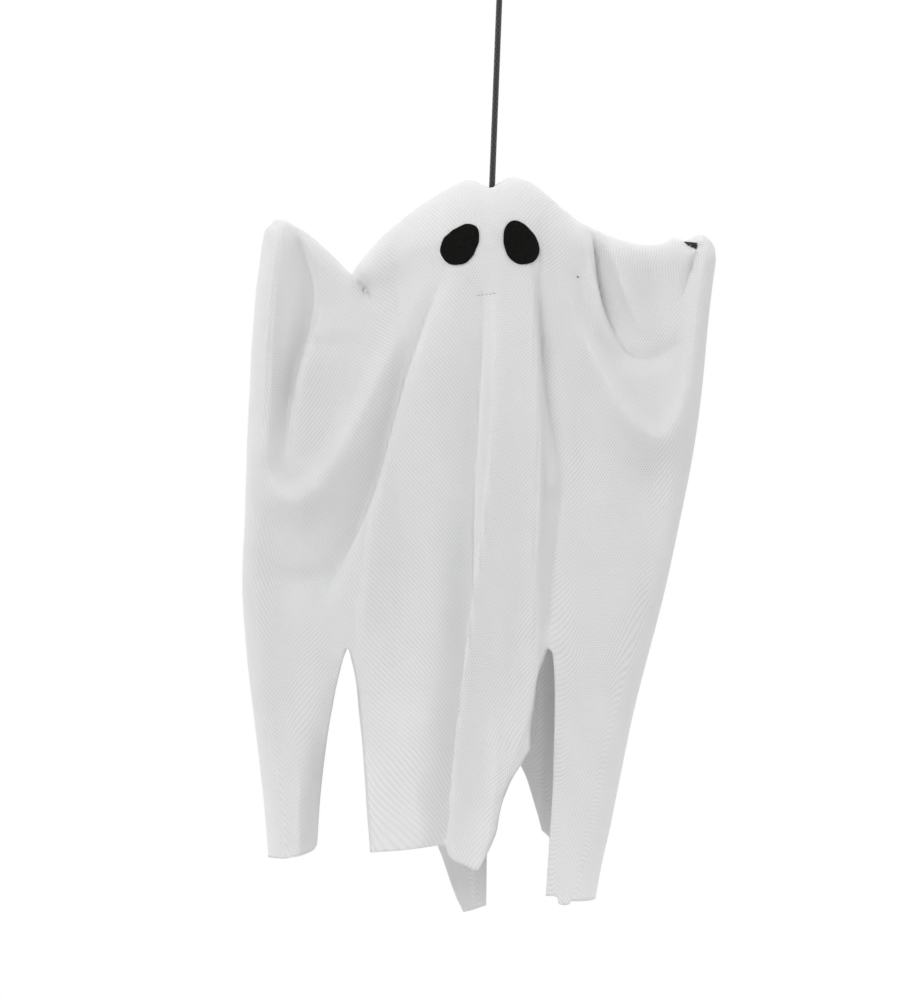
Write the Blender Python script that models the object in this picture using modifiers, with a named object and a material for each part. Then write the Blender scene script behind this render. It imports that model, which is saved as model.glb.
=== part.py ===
# Hanging ghost decoration: a mesh sheet draped over a foam head and a bent arm wire, on a cord.
# Metres. The origin is the inside top of the hanging loop. X is to the viewer's right, Y is away
# from the viewer and Z is up. Places on the sheet are (x, z) as the viewer sees them.

import math

import bmesh
import bpy
import numpy as np
from mathutils import Matrix, Vector

CLEARANCE = 0.0003

# Cord, loop and crimp
CORD_DIAMETER = 0.0033
CORD_LEAN = math.radians(2.23)
LOOP_WIDTH = 0.018
LOOP_DROP = 0.036
CRIMP_LENGTH = 0.010
CRIMP_WALL = 0.0014
TAIL_LENGTH = 0.003
WASHER_DIAMETER = 0.014
WASHER_THICKNESS = 0.0012
KNOT_SIZE = 0.0021
CORD_SPANS = 20

# Head ball
HEAD_DROP = 0.1898
HEAD_DIAMETER = 0.072
DIMPLE_DIAMETER = 0.042
DIMPLE_DEPTH = 0.0085

# Arms. The places in this file are drawn for one span between the wire's ends, and spread() moves
# each of them out from the head to suit this one.
ARMS_WIDTH = 0.2293

# Arm wire
WIRE_DIAMETER = 0.0025
WIRE_DROP = 0.023
WIRE_SETBACK = 0.006
WIRE_EYE_RADIUS = 0.0042
WIRE_EYE_STEP = math.radians(28)
WIRE_EYE_POINTS = 10
LEFT_WIRE_END = (-0.1213, -0.1808)
RIGHT_WIRE_END = (0.1080, -0.1884)
LEFT_ARM_REACH = -0.006
RIGHT_ARM_REACH = 0.012
LEFT_ELBOW = (-0.1020, -0.2370)
RIGHT_ELBOW = (0.0850, -0.2375)
LEFT_ELBOW_REACH = 0.3 * LEFT_ARM_REACH
RIGHT_ELBOW_REACH = 0.6 * RIGHT_ARM_REACH
FOREARM_BOW = (0.0010, 0.0040)
KNEE_OFFSET = (0.0220, 0.0010)

# Sheet: cloth, size and how far it stands out
CLOTH_THICKNESS = 0.001
PUCKER_RISE = 0.0020
TUCK_DEPTH = 0.0066
TUCK_WIDTH_LEFT = 0.0065
TUCK_WIDTH_RIGHT = 0.0050
TUCK_REACH = 0.0160
ARM_ROUND = 0.014
ARM_DEPTH = 0.015
SIDE_ROUND = 0.010
SHOULDER_SLOPE = 0.72
FRONT_HEM_DEPTH = (0.024, 0.042)
BACK_HEM_DEPTH = (0.026, 0.043)
HEM_SPREAD = 0.060
HEM_LEAN_ROOM = 0.020
SLIT_TOP = -0.4078
SIDE_LENGTH_LEFT = 0.3495
SIDE_LENGTH_RIGHT = 0.3592
FRONT_HEM_DROP = 0.3300
BACK_HEM_DROP = 0.3660
PANEL_SPLITS = (-0.0830, 0.0314)
SETTLE_DROP = 0.060
ROUND_ROWS = 6
ROUND_CROWDING = 1.15
FACET_ROOM = 0.0010
BODY_ROWS = 21
STRIP_ROWS = 8
COLUMN_COUNTS = (10, 18, 11)
SIDE_COLUMNS = 3
MERGE_DISTANCE = 0.00002

# Felt eyes
FELT_THICKNESS = 0.0012
EYE_LENGTH = 0.0246
EYE_WIDTH = 0.0178
EYE_TAPER = 0.13
EYE_RISE = 0.0022
LEFT_EYE_OFFSET = -0.0150
RIGHT_EYE_OFFSET = 0.0158
LEFT_EYE_TILT = math.radians(38)
RIGHT_EYE_TILT = math.radians(-23)
EYE_RINGS = 3
EYE_SIDES = 32

DRAWN_SPAN = RIGHT_WIRE_END[0] - LEFT_WIRE_END[0]
HEAD_RADIUS = HEAD_DIAMETER / 2
HEAD_X = -HEAD_DROP * math.tan(CORD_LEAN)
HEAD_CENTRE = Vector((HEAD_X, 0, -HEAD_DROP))
CORD_TOP_X = -(HEAD_DROP - HEAD_RADIUS) * math.tan(CORD_LEAN)
CORD_UP = Vector((math.sin(CORD_LEAN), 0, math.cos(CORD_LEAN)))
BORE_RADIUS = CORD_DIAMETER / 2 + CLEARANCE
DRAPE_RADIUS = HEAD_RADIUS + CLEARANCE + CLOTH_THICKNESS / 2 + FACET_ROOM
WIRE_BERTH = WIRE_DIAMETER / 2 + CLEARANCE + CLOTH_THICKNESS / 2 + FACET_ROOM
WIRE_MARGIN = 0.006
WIRE_STEPS = 4
HEAD_LINE = HEAD_DROP / math.cos(CORD_LEAN)
WASHER_LINE = HEAD_LINE + math.sqrt(HEAD_RADIUS**2 - BORE_RADIUS**2) + CLEARANCE
KNOT_POINTS = 42
TIP_RISE = WIRE_EYE_RADIUS + WIRE_DIAMETER / 2 + CLEARANCE + CLOTH_THICKNESS / 2
LEFT_TIP = (LEFT_WIRE_END[0] - 0.0058, LEFT_WIRE_END[1] + TIP_RISE)
RIGHT_TIP = (RIGHT_WIRE_END[0] + 0.0075, RIGHT_WIRE_END[1] + TIP_RISE - 0.0040)


# Curves

def spread(x):
    return HEAD_X + (x - HEAD_X) * ARMS_WIDTH / DRAWN_SPAN


def smooth_value(points, place):
    # The value at place on a smooth curve through (place, value) points.
    places = [point[0] for point in points]
    values = [point[1] for point in points]
    place = min(max(place, places[0]), places[-1])
    last = len(points) - 1
    slopes = []
    for i in range(last + 1):
        before, after = max(i - 1, 0), min(i + 1, last)
        slopes.append((values[after] - values[before]) / (places[after] - places[before]))
    i = min(max(int(np.searchsorted(places, place)) - 1, 0), last - 1)
    step = places[i + 1] - places[i]
    t = (place - places[i]) / step
    return (
        values[i] * (1 + 2 * t) * (1 - t) ** 2
        + slopes[i] * step * t * (1 - t) ** 2
        + values[i + 1] * t * t * (3 - 2 * t)
        + slopes[i + 1] * step * t * t * (t - 1)
    )


def smooth_path(points, per_span):
    # Points on a smooth curve through the given ones, in as many directions as they have.
    points = np.array(points, float)
    ends = [2 * points[0] - points[1]], points, [2 * points[-1] - points[-2]]
    padded = np.concatenate(ends)
    found = []
    for i in range(len(points) - 1):
        a, b, c, d = padded[i : i + 4]
        for t in np.arange(per_span) / per_span:
            found.append(
                b
                + 0.5 * t * (c - a)
                + t * t * (a - 2.5 * b + 2 * c - 0.5 * d)
                + 0.5 * t**3 * (3 * b - a - 3 * c + d)
            )
    found.append(points[-1])
    return np.array(found)


def ease(t):
    t = min(max(t, 0), 1)
    return t * t * (3 - 2 * t)


# Outline of the draped sheet. Each list reads along the edge that it names.

LEFT_RIDGE = (
    (LEFT_TIP[0], LEFT_TIP[1]),
    (LEFT_TIP[0] + 0.0040, LEFT_TIP[1] + 0.0008),
    (LEFT_TIP[0] + 0.0110, LEFT_TIP[1] - 0.0020),
    (LEFT_TIP[0] + 0.0240, LEFT_TIP[1] - 0.0107),
    (LEFT_TIP[0] + 0.0370, LEFT_TIP[1] - 0.0232),
    (-0.0830, -0.2036),
)
CROWN = HEAD_CENTRE.z + DRAPE_RADIUS + PUCKER_RISE
HEAD_RIDGE = (
    (-0.0830, -0.2036),
    (-0.0798, -0.1985),
    (-0.0732, -0.1900),
    (-0.0600, -0.1770),
    (-0.0470, -0.1667),
    (HEAD_X - 0.0262, CROWN - 0.0085),
    (HEAD_X - 0.0130, CROWN - 0.0018),
    (HEAD_X, CROWN),
    (HEAD_X + 0.0130, CROWN - 0.0003),
    (HEAD_X + 0.0235, CROWN - 0.0035),
    (HEAD_X + 0.0300, CROWN - 0.0085),
    (0.0358, -0.1700),
    (0.0490, -0.1780),
    (0.0620, -0.1837),
    (0.0753, -0.1870),
    (0.0850, -0.1870),
    (RIGHT_TIP[0] - 0.0200, RIGHT_TIP[1] + 0.0040),
    (RIGHT_TIP[0] - 0.0137, RIGHT_TIP[1] + 0.0020),
    (RIGHT_TIP[0] - 0.0070, RIGHT_TIP[1] + 0.0049),
    (RIGHT_TIP[0] - 0.0028, RIGHT_TIP[1] + 0.0033),
    (RIGHT_TIP[0], RIGHT_TIP[1]),
)
# Drop below the arm's tip, and how far out from it
LEFT_SIDE = (
    (0, 0),
    (0.0025, -0.0025),
    (0.0130, -0.0050),
    (0.0377, -0.0083),
    (0.0870, -0.0115),
    (0.1530, -0.0143),
    (0.2027, -0.0160),
    (0.2520, -0.0121),
    (0.3015, -0.0063),
    (SIDE_LENGTH_LEFT, -0.0016),
)
RIGHT_SIDE = (
    (0, 0),
    (0.0044, 0.0014),
    (0.0100, 0.0016),
    (0.0418, -0.0025),
    (0.0968, -0.0080),
    (0.1408, -0.0160),
    (0.1958, -0.0280),
    (0.2398, -0.0396),
    (0.2838, -0.0495),
    (0.3223, -0.0572),
    (SIDE_LENGTH_RIGHT, -0.0649),
)
# Drop below the slit's top, and x, along each cut edge
FRONT_CUTS = (
    ((0, -0.0855), (0.0190, -0.0908), (0.0520, -0.0968), (0.0850, -0.1007), (0.1110, -0.1023)),
    ((0, -0.0855), (0.0060, -0.0825), (0.0190, -0.0803), (0.0520, -0.0770), (0.1130, -0.0726)),
    (
        (0, 0.0248),
        (0.0160, 0.0180),
        (0.0450, 0.0146),
        (0.0585, 0.0142),
        (0.0640, 0.0094),
        (0.0735, 0.0036),
        (0.0860, -0.0016),
        (0.0975, -0.0038),
        (0.1060, -0.0060),
        (0.1110, -0.0094),
        (0.1200, -0.0118),
    ),
    ((0, 0.0248), (0.0050, 0.0276), (0.0290, 0.0281), (0.0790, 0.0270), (0.1350, 0.0231)),
)
BACK_CUTS = (
    ((0, -0.0855), (0.0190, -0.0925), (0.0520, -0.0990), (0.0850, -0.1030), (0.1110, -0.1045)),
    ((0, -0.0855), (0.0300, -0.0710), (0.0630, -0.0575), (0.1100, -0.0374), (0.1490, -0.0214)),
    (
        (0, 0.0010),
        (0.0300, -0.0010),
        (0.0630, -0.0030),
        (0.0820, -0.0014),
        (0.0945, -0.0022),
        (0.0985, -0.0052),
        (0.1160, -0.0088),
        (0.1490, -0.0092),
    ),
    ((0, 0.0010), (0.0300, 0.0030), (0.0640, 0.0094), (0.0890, 0.0182), (0.1050, 0.0225)),
)
# Share of the strip's width from its left edge, and how far its hem is below the stated drop
FRONT_HEMS = (
    ((0, 0.0034), (0.45, 0.0020), (0.8, -0.0002), (1, -0.0034)),
    (
        (0, 0),
        (0.3, -0.0016),
        (0.55, -0.0038),
        (0.66, -0.0010),
        (0.74, 0.0040),
        (0.9, 0.0088),
        (0.96, 0.0080),
        (1, 0.0020),
    ),
    ((0, 0.0231), (0.38, 0.0242), (0.44, 0.0270), (0.72, 0.0280), (0.8, 0.0264), (1, 0.0259)),
)
BACK_HEMS = (
    ((0, -0.0326), (0.5, -0.0380), (1, -0.0390)),
    ((0, 0), (1, -0.0028)),
    ((0, -0.0470), (0.15, -0.0420), (0.5, -0.0270), (1, -0.0101)),
)

# Folds as (x, z, height) along each crease, how far it spreads to its left and right, and how far
# it leans to the right for each unit of height. A height above 0 is a ridge, away from the sheet's
# inside, and a leaning ridge hangs over the valley beside it.
FRONT_FOLDS = (
    # left arm: the outer roll, the deep hollow beside the hand and the swag under it
    (
        (
            (-0.1254, -0.182, 0.001),
            (-0.1276, -0.201, 0.005),
            (-0.1310, -0.234, 0.008),
            (-0.1325, -0.272, 0.008),
            (-0.1325, -0.300, 0.006),
        ),
        0.009,
        0.006,
        0.0,
    ),
    (
        (
            (-0.1150, -0.184, -0.003),
            (-0.1110, -0.201, -0.007),
            (-0.1100, -0.223, -0.009),
            (-0.1117, -0.245, -0.011),
            (-0.1133, -0.264, -0.011),
            (-0.1150, -0.283, -0.009),
            (-0.1177, -0.302, -0.003),
        ),
        0.0075,
        0.0055,
        -0.25,
    ),
    (
        (
            (-0.1056, -0.231, 0.001),
            (-0.1070, -0.242, 0.005),
            (-0.1090, -0.261, 0.007),
            (-0.1110, -0.283, 0.005),
            (-0.1130, -0.300, 0.002),
        ),
        0.004,
        0.011,
        -0.25,
    ),
    (
        (
            (-0.1350, -0.294, 0.002),
            (-0.1290, -0.313, 0.004),
            (-0.1220, -0.324, 0.007),
            (-0.1130, -0.328, 0.008),
            (-0.1045, -0.324, 0.007),
            (-0.0957, -0.313, 0.006),
            (-0.0860, -0.298, 0.006),
            (-0.0760, -0.278, 0.005),
            (-0.0650, -0.255, 0.005),
            (-0.0530, -0.231, 0.004),
            (-0.0430, -0.213, 0.003),
            (-0.0370, -0.200, 0.001),
        ),
        0.011,
        0.0075,
        0.0,
    ),
    # the pocket where the arm's cloth passes before the head's
    (((-0.081, -0.207, -0.006), (-0.074, -0.218, -0.010), (-0.067, -0.223, -0.001)), 0.004, 0.008, 0.0),
    # left of the middle: valley, ridge, then the wide valley
    (
        (
            (-0.0350, -0.205, -0.002),
            (-0.0470, -0.236, -0.006),
            (-0.0550, -0.258, -0.008),
            (-0.0630, -0.283, -0.010),
            (-0.0705, -0.306, -0.012),
            (-0.0790, -0.331, -0.013),
            (-0.0870, -0.352, -0.010),
            (-0.0950, -0.371, -0.004),
            (-0.1000, -0.385, -0.001),
        ),
        0.011,
        0.0075,
        -0.2,
    ),
    (
        (
            (-0.0385, -0.229, 0.002),
            (-0.0470, -0.253, 0.005),
            (-0.0545, -0.278, 0.007),
            (-0.0615, -0.308, 0.008),
            (-0.0690, -0.341, 0.008),
            (-0.0730, -0.377, 0.006),
            (-0.0755, -0.404, 0.003),
            (-0.0720, -0.448, 0.001),
        ),
        0.0075,
        0.013,
        -0.2,
    ),
    (
        (
            (-0.0138, -0.215, -0.002),
            (-0.0160, -0.234, -0.006),
            (-0.0176, -0.261, -0.010),
            (-0.0190, -0.294, -0.013),
            (-0.0200, -0.327, -0.016),
            (-0.0200, -0.360, -0.018),
            (-0.0220, -0.404, -0.019),
            (-0.0264, -0.448, -0.019),
            (-0.0313, -0.487, -0.018),
            (-0.0336, -0.517, -0.017),
        ),
        0.012,
        0.006,
        -0.35,
    ),
    # the middle ridge, the flatter one beside it and the valley under the right cheek
    (
        (
            (-0.0050, -0.217, 0.001),
            (-0.0028, -0.242, 0.005),
            (-0.0022, -0.272, 0.007),
            (-0.0038, -0.305, 0.008),
            (-0.0070, -0.338, 0.009),
            (-0.0115, -0.374, 0.010),
            (-0.0165, -0.410, 0.010),
            (-0.0225, -0.454, 0.011),
            (-0.0264, -0.487, 0.010),
            (-0.0290, -0.520, 0.009),
        ),
        0.0055,
        0.010,
        -0.35,
    ),
    (
        (
            (0.0130, -0.201, 0.001),
            (0.0154, -0.234, 0.005),
            (0.0170, -0.283, 0.008),
            (0.0170, -0.327, 0.008),
            (0.0160, -0.360, 0.007),
            (0.0170, -0.393, 0.005),
            (0.0140, -0.437, 0.003),
            (-0.0016, -0.487, 0.002),
        ),
        0.0075,
        0.0055,
        0.25,
    ),
    (
        (
            (0.0240, -0.190, -0.001),
            (0.0220, -0.217, -0.008),
            (0.0230, -0.236, -0.014),
            (0.0250, -0.258, -0.015),
            (0.0275, -0.283, -0.013),
            (0.0320, -0.306, -0.011),
            (0.0330, -0.330, -0.008),
            (0.0286, -0.360, -0.008),
            (0.0260, -0.388, -0.007),
            (0.0253, -0.410, -0.005),
        ),
        0.0055,
        0.010,
        0.25,
    ),
    # right arm: the shoulder's swag, up to the tip, and the hollow behind it
    (
        (
            (0.0264, -0.180, 0.001),
            (0.0350, -0.212, 0.003),
            (0.0457, -0.242, 0.006),
            (0.0590, -0.268, 0.007),
            (0.0720, -0.286, 0.008),
            (0.0863, -0.294, 0.008),
            (0.0962, -0.282, 0.007),
            (0.1030, -0.256, 0.006),
            (0.1078, -0.225, 0.004),
            (0.1117, -0.198, 0.002),
        ),
        0.011,
        0.006,
        0.0,
    ),
    (
        (
            (0.0440, -0.181, -0.005),
            (0.0480, -0.191, -0.009),
            (0.0534, -0.207, -0.012),
            (0.0578, -0.224, -0.012),
            (0.0616, -0.243, -0.007),
            (0.0644, -0.254, -0.002),
        ),
        0.0055,
        0.006,
        0.25,
    ),
    (((0.106, -0.190, -0.004), (0.103, -0.212, -0.003), (0.098, -0.235, -0.001)), 0.004, 0.003, 0.0),
    # strips: the left one's inner edge rolls back, and the right one has a soft crease
    (((-0.090, -0.425, -0.002), (-0.099, -0.480, -0.009), (-0.101, -0.522, -0.012)), 0.007, 0.012, 0.0),
    (((0.050, -0.380, 0.002), (0.046, -0.450, 0.002), (0.040, -0.545, 0.001)), 0.010, 0.012, 0.0),
)
BACK_FOLDS = (
    (
        (
            (-0.118, -0.200, 0.002),
            (-0.122, -0.290, 0.006),
            (-0.104, -0.335, 0.008),
            (-0.070, -0.290, 0.005),
            (-0.045, -0.220, 0.002),
        ),
        0.011,
        0.012,
        0.0,
    ),
    (((-0.100, -0.210, -0.004), (-0.098, -0.270, -0.007), (-0.104, -0.310, -0.002)), 0.010, 0.010, 0.0),
    (((-0.036, -0.215, -0.003), (-0.062, -0.300, -0.009), (-0.084, -0.400, -0.005)), 0.010, 0.010, 0.0),
    (
        (
            (-0.028, -0.215, 0.002),
            (-0.046, -0.310, 0.006),
            (-0.056, -0.400, 0.006),
            (-0.036, -0.500, 0.003),
        ),
        0.010,
        0.010,
        0.0,
    ),
    (((-0.012, -0.215, -0.002), (-0.022, -0.320, -0.009), (-0.024, -0.480, -0.008)), 0.010, 0.009, 0.0),
    (((0.000, -0.215, 0.002), (-0.002, -0.320, 0.006), (-0.006, -0.420, 0.005)), 0.009, 0.009, 0.0),
    (((0.016, -0.215, -0.003), (0.024, -0.310, -0.009), (0.022, -0.400, -0.005)), 0.009, 0.010, 0.0),
    (
        (
            (0.030, -0.190, 0.003),
            (0.048, -0.270, 0.008),
            (0.078, -0.312, 0.008),
            (0.100, -0.270, 0.004),
            (0.108, -0.205, 0.001),
        ),
        0.012,
        0.010,
        0.0,
    ),
    (((0.058, -0.195, -0.004), (0.070, -0.240, -0.008), (0.080, -0.262, -0.002)), 0.010, 0.012, 0.0),
)


FRONT = {
    "facing": -1,
    "slits": (-0.0855, 0.0248),
    "cuts": FRONT_CUTS,
    "hem_drop": FRONT_HEM_DROP,
    "hems": FRONT_HEMS,
    "hem_depth": FRONT_HEM_DEPTH,
    "folds": FRONT_FOLDS,
}
BACK = {
    "facing": 1,
    "slits": (-0.0855, 0.0010),
    "cuts": BACK_CUTS,
    "hem_drop": BACK_HEM_DROP,
    "hems": BACK_HEMS,
    "hem_depth": BACK_HEM_DEPTH,
    "folds": BACK_FOLDS,
}


# Scene helpers

def clear_scene():
    for obj in list(bpy.data.objects):
        bpy.data.objects.remove(obj, do_unlink=True)
    for collection in list(bpy.data.collections):
        bpy.data.collections.remove(collection)


def new_collection(name, hidden=False):
    collection = bpy.data.collections.new(name)
    bpy.context.scene.collection.children.link(collection)
    collection.hide_render = hidden
    return collection


def new_material(name, colour, roughness, metallic=0.0):
    material = bpy.data.materials.new(name)
    material.use_nodes = True
    shader = material.node_tree.nodes["Principled BSDF"]
    shader.inputs["Base Color"].default_value = (*colour, 1)
    shader.inputs["Roughness"].default_value = roughness
    shader.inputs["Metallic"].default_value = metallic
    return material


def add_object(name, shape, material=None):
    obj = bpy.data.objects.new(name, shape)
    PART.objects.link(obj)
    if material:
        shape.materials.append(material)
    return obj


def mesh_from(name, build, material=None):
    # build fills a bmesh
    work = bmesh.new()
    build(work)
    mesh = bpy.data.meshes.new(name)
    work.to_mesh(mesh)
    work.free()
    return add_object(name, mesh, material)


def make_cutter(name, build):
    cutter = mesh_from(name, build)
    PART.objects.unlink(cutter)
    CUTTERS.objects.link(cutter)
    cutter.hide_render = True
    cutter.display_type = "WIRE"
    return cutter


def cut(obj, cutter):
    boolean = obj.modifiers.new("cut by " + cutter.name, "BOOLEAN")
    boolean.operation = "DIFFERENCE"
    boolean.solver = "EXACT"
    boolean.object = cutter


def tube(name, points, diameter, material, sides_per_quarter=2, closed=False):
    curve = bpy.data.curves.new(name, "CURVE")
    curve.dimensions = "3D"
    curve.bevel_depth = diameter / 2
    curve.bevel_resolution = sides_per_quarter
    curve.use_fill_caps = not closed
    curve.twist_mode = "MINIMUM"
    spline = curve.splines.new("POLY")
    spline.points.add(len(points) - 1)
    for spot, place in zip(spline.points, points):
        spot.co = (*place, 1)
    spline.use_cyclic_u = closed
    return add_object(name, curve, material)


def along_cord(down, across=0.0):
    # A place on the cord's straight line, that far below the loop's top.
    side = Vector((CORD_UP.z, 0, -CORD_UP.x))
    return -CORD_UP * down + side * across


def lean_at(place):
    return Matrix.Translation(place) @ Matrix.Rotation(CORD_LEAN, 4, "Y")


# Arm wire

def wire_route():
    level = HEAD_CENTRE.z - WIRE_DROP
    half = math.sqrt(HEAD_RADIUS**2 - WIRE_DROP**2 - WIRE_SETBACK**2) + 2 * WIRE_DIAMETER
    exits = [(HEAD_X + side * half, WIRE_SETBACK, level) for side in (-1, 1)]
    left_end, left_elbow, right_elbow, right_end = (
        (spread(x), z) for x, z in (LEFT_WIRE_END, LEFT_ELBOW, RIGHT_ELBOW, RIGHT_WIRE_END)
    )
    left = [(*left_end, LEFT_ARM_REACH), (*left_elbow, LEFT_ELBOW_REACH)]
    right = [(*right_elbow, RIGHT_ELBOW_REACH), (*right_end, RIGHT_ARM_REACH)]
    arms = []
    for eye, elbow, side in ((left[0], left[1], 1), (right[1], right[0], -1)):
        bend = (
            (eye[0] + elbow[0]) / 2 + side * FOREARM_BOW[0],
            (eye[1] + elbow[1]) / 2 - FOREARM_BOW[1],
        )
        knee = (elbow[0] + side * KNEE_OFFSET[0], elbow[1] + KNEE_OFFSET[1])
        arms.append(
            [
                (eye[0] + side * WIRE_EYE_RADIUS, eye[2], eye[1]),
                (bend[0], eye[2] * 0.8 + elbow[2] * 0.2, bend[1]),
                (elbow[0], elbow[2], elbow[1]),
                (knee[0], elbow[2] / 2 + WIRE_SETBACK / 2, knee[1]),
            ]
        )
    spans = smooth_path(arms[0] + exits + arms[1][::-1], WIRE_STEPS)
    middle = WIRE_STEPS * len(arms[0])
    route = np.concatenate([spans[: middle + 1], spans[middle + WIRE_STEPS :]])
    return [wire_eye(left[0], 1)[::-1], route, wire_eye(right[1], -1)]


def wire_eye(eye, side):
    # The closed eye at a wire end, from the arm over the top and round to just short of the arm.
    turns = [WIRE_EYE_STEP * i for i in range(1, WIRE_EYE_POINTS + 1)]
    return np.array(
        [
            (
                eye[0] + side * WIRE_EYE_RADIUS * math.cos(turn),
                eye[2],
                eye[1] + WIRE_EYE_RADIUS * math.sin(turn),
            )
            for turn in turns
        ]
    )


# Sheet

def fold_lift(folds, x, z):
    # How far the creases lift the cloth at one place, and how far they lean it across and up.
    total = lean_x = lean_z = 0.0
    for line, left, right, lean in folds:
        run = line[1:] - line[:-1]
        away = np.array((x, z)) - line[:-1, :2]
        share = np.clip((away * run[:, :2]).sum(1) / (run[:, :2] ** 2).sum(1), 0, 1)
        off = away - share[:, None] * run[:, :2]
        distance = np.hypot(off[:, 0], off[:, 1])
        i = int(distance.argmin())
        # A fold's left is the viewer's left as it runs down. Past its ends the widths blend.
        cross = run[i, 0] * away[i, 1] - run[i, 1] * away[i, 0]
        length = math.hypot(run[i, 0], run[i, 1])
        side = cross / (length * max(distance[i], 1e-9))
        width = (left + right) / 2 + (right - left) / 2 * side
        height = line[i, 2] + share[i] * (line[i + 1, 2] - line[i, 2])
        lift = height * math.exp(-((distance[i] / width) ** 2))
        total += lift
        lean_x -= lean * lift * run[i, 1] / length
        lean_z += lean * lift * run[i, 0] / length
    return total, lean_x, lean_z


def ridge_height(x):
    ridge = LEFT_RIDGE if x <= LEFT_RIDGE[-1][0] else HEAD_RIDGE
    return smooth_value(ridge, x)


def round_size(x, least):
    # The head's own round where the cloth lies on it, easing to the arm's.
    off = SHOULDER_SLOPE * (x - HEAD_X)
    on_head = math.sqrt(max(DRAPE_RADIUS**2 - off**2, 0))
    return (on_head**4 + least**4) ** 0.25


def middle_depth(x, z):
    # The mid-plane follows the arm wire's reach and settles back to the middle further down.
    reach = LEFT_ARM_REACH if x < HEAD_X else RIGHT_ARM_REACH
    tip = LEFT_WIRE_END[0] if x < HEAD_X else RIGHT_WIRE_END[0]
    along = ease((abs(x - HEAD_X) - HEAD_RADIUS) / (abs(tip - HEAD_X) - HEAD_RADIUS))
    return reach * along * (1 - ease((ridge_height(x) - z) / FRONT_HEM_DROP))


def clear_of_wire(point, facing):
    # The cloth passes before or behind the wire, never through it.
    line = WIRE_LINE
    run = (line[1:] - line[:-1])[:, [0, 2]]
    away = np.array((point.x, point.z)) - line[:-1][:, [0, 2]]
    share = np.clip((away * run).sum(1) / (run**2).sum(1), 0, 1)
    off = away - share[:, None] * run
    distance = np.hypot(off[:, 0], off[:, 1])
    i = int(distance.argmin())
    wire_y = line[i, 1] + share[i] * (line[i + 1, 1] - line[i, 1])
    near = ease((WIRE_BERTH + WIRE_MARGIN - distance[i]) / WIRE_MARGIN)
    limit = wire_y + facing * (WIRE_BERTH - (1 - near) * 3 * WIRE_BERTH)
    return max(point.y, limit) if facing > 0 else min(point.y, limit)


def clear_of_head(point):
    # Cloth that would lie inside the ball rests on it. Round the cord it is drawn down into a
    # furrow that runs from front to back, and stands up in a pucker on either side.
    off = point - HEAD_CENTRE
    if off.length < DRAPE_RADIUS:
        point = HEAD_CENTRE + off * (DRAPE_RADIUS / off.length)
    if point.z > HEAD_CENTRE.z:
        across = point.x - CORD_TOP_X
        width = TUCK_WIDTH_LEFT if across < 0 else TUCK_WIDTH_RIGHT
        point.z -= TUCK_DEPTH * math.exp(-((across / width) ** 2) - (point.y / TUCK_REACH) ** 2)
    return point


def sheet_point(layer, x, z, hem_z, turn, side_turn):
    # turn is how far the cloth has come round the top fold, and side_turn round the side fold.
    top = round_size(x, ARM_DEPTH)
    outer, centre = layer["hem_depth"]
    hem = outer + (centre - outer) * math.exp(-(((x - HEAD_X) / HEM_SPREAD) ** 2))
    start = ridge_height(x) - round_size(x, ARM_ROUND)
    depth = top + (hem - top) * ease((start - z) / FRONT_HEM_DROP)
    lift, lean_x, lean_z = fold_lift(layer["folds"], x, z)
    depth += lift * turn
    y = middle_depth(x, z) + layer["facing"] * depth * turn * side_turn
    above_hem = ease((z - hem_z) / HEM_LEAN_ROOM) * turn * side_turn
    point = Vector((spread(x + lean_x * turn * side_turn), y, z + lean_z * above_hem))
    if turn * side_turn > 0:
        point.y = clear_of_wire(point, layer["facing"])
    return clear_of_head(point)


def panel_edges(layer, panel, z):
    # The x of a panel's left and right edge at height z.
    edges = [LEFT_TIP[0] + smooth_value(LEFT_SIDE, LEFT_TIP[1] - z)]
    for i, split in enumerate(PANEL_SPLITS):
        if z >= SLIT_TOP:
            top = ridge_height(split)
            line = split + (layer["slits"][i] - split) * (top - z) / (top - SLIT_TOP)
            edges += [line, line]
        else:
            edges += [smooth_value(side, SLIT_TOP - z) for side in layer["cuts"][2 * i : 2 * i + 2]]
    edges.append(RIGHT_TIP[0] + smooth_value(RIGHT_SIDE, RIGHT_TIP[1] - z))
    return edges[2 * panel], edges[2 * panel + 1]


def across_panel(panel, column, left, right):
    # x of a column between a panel's edges. Outer panels start with the columns of the side fold.
    inset, share = column
    if panel == 0:
        return left + inset + share * (right - left - inset)
    if panel == 2:
        return right - inset + share * (left - right + inset)
    return left + share * (right - left)


def panel_columns(panel):
    # (inset, share, side_turn) of each column, from the outer edge inwards.
    count = COLUMN_COUNTS[panel]
    if panel == 1:
        return [(0, i / count, 1.0) for i in range(count + 1)]
    turns = [math.pi / 2 * i / SIDE_COLUMNS for i in range(SIDE_COLUMNS)]
    rounded = [(SIDE_ROUND * (1 - math.cos(turn)), 0, math.sin(turn)) for turn in turns]
    inner = count - SIDE_COLUMNS
    return rounded + [(SIDE_ROUND, i / inner, 1.0) for i in range(inner + 1)]


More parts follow.
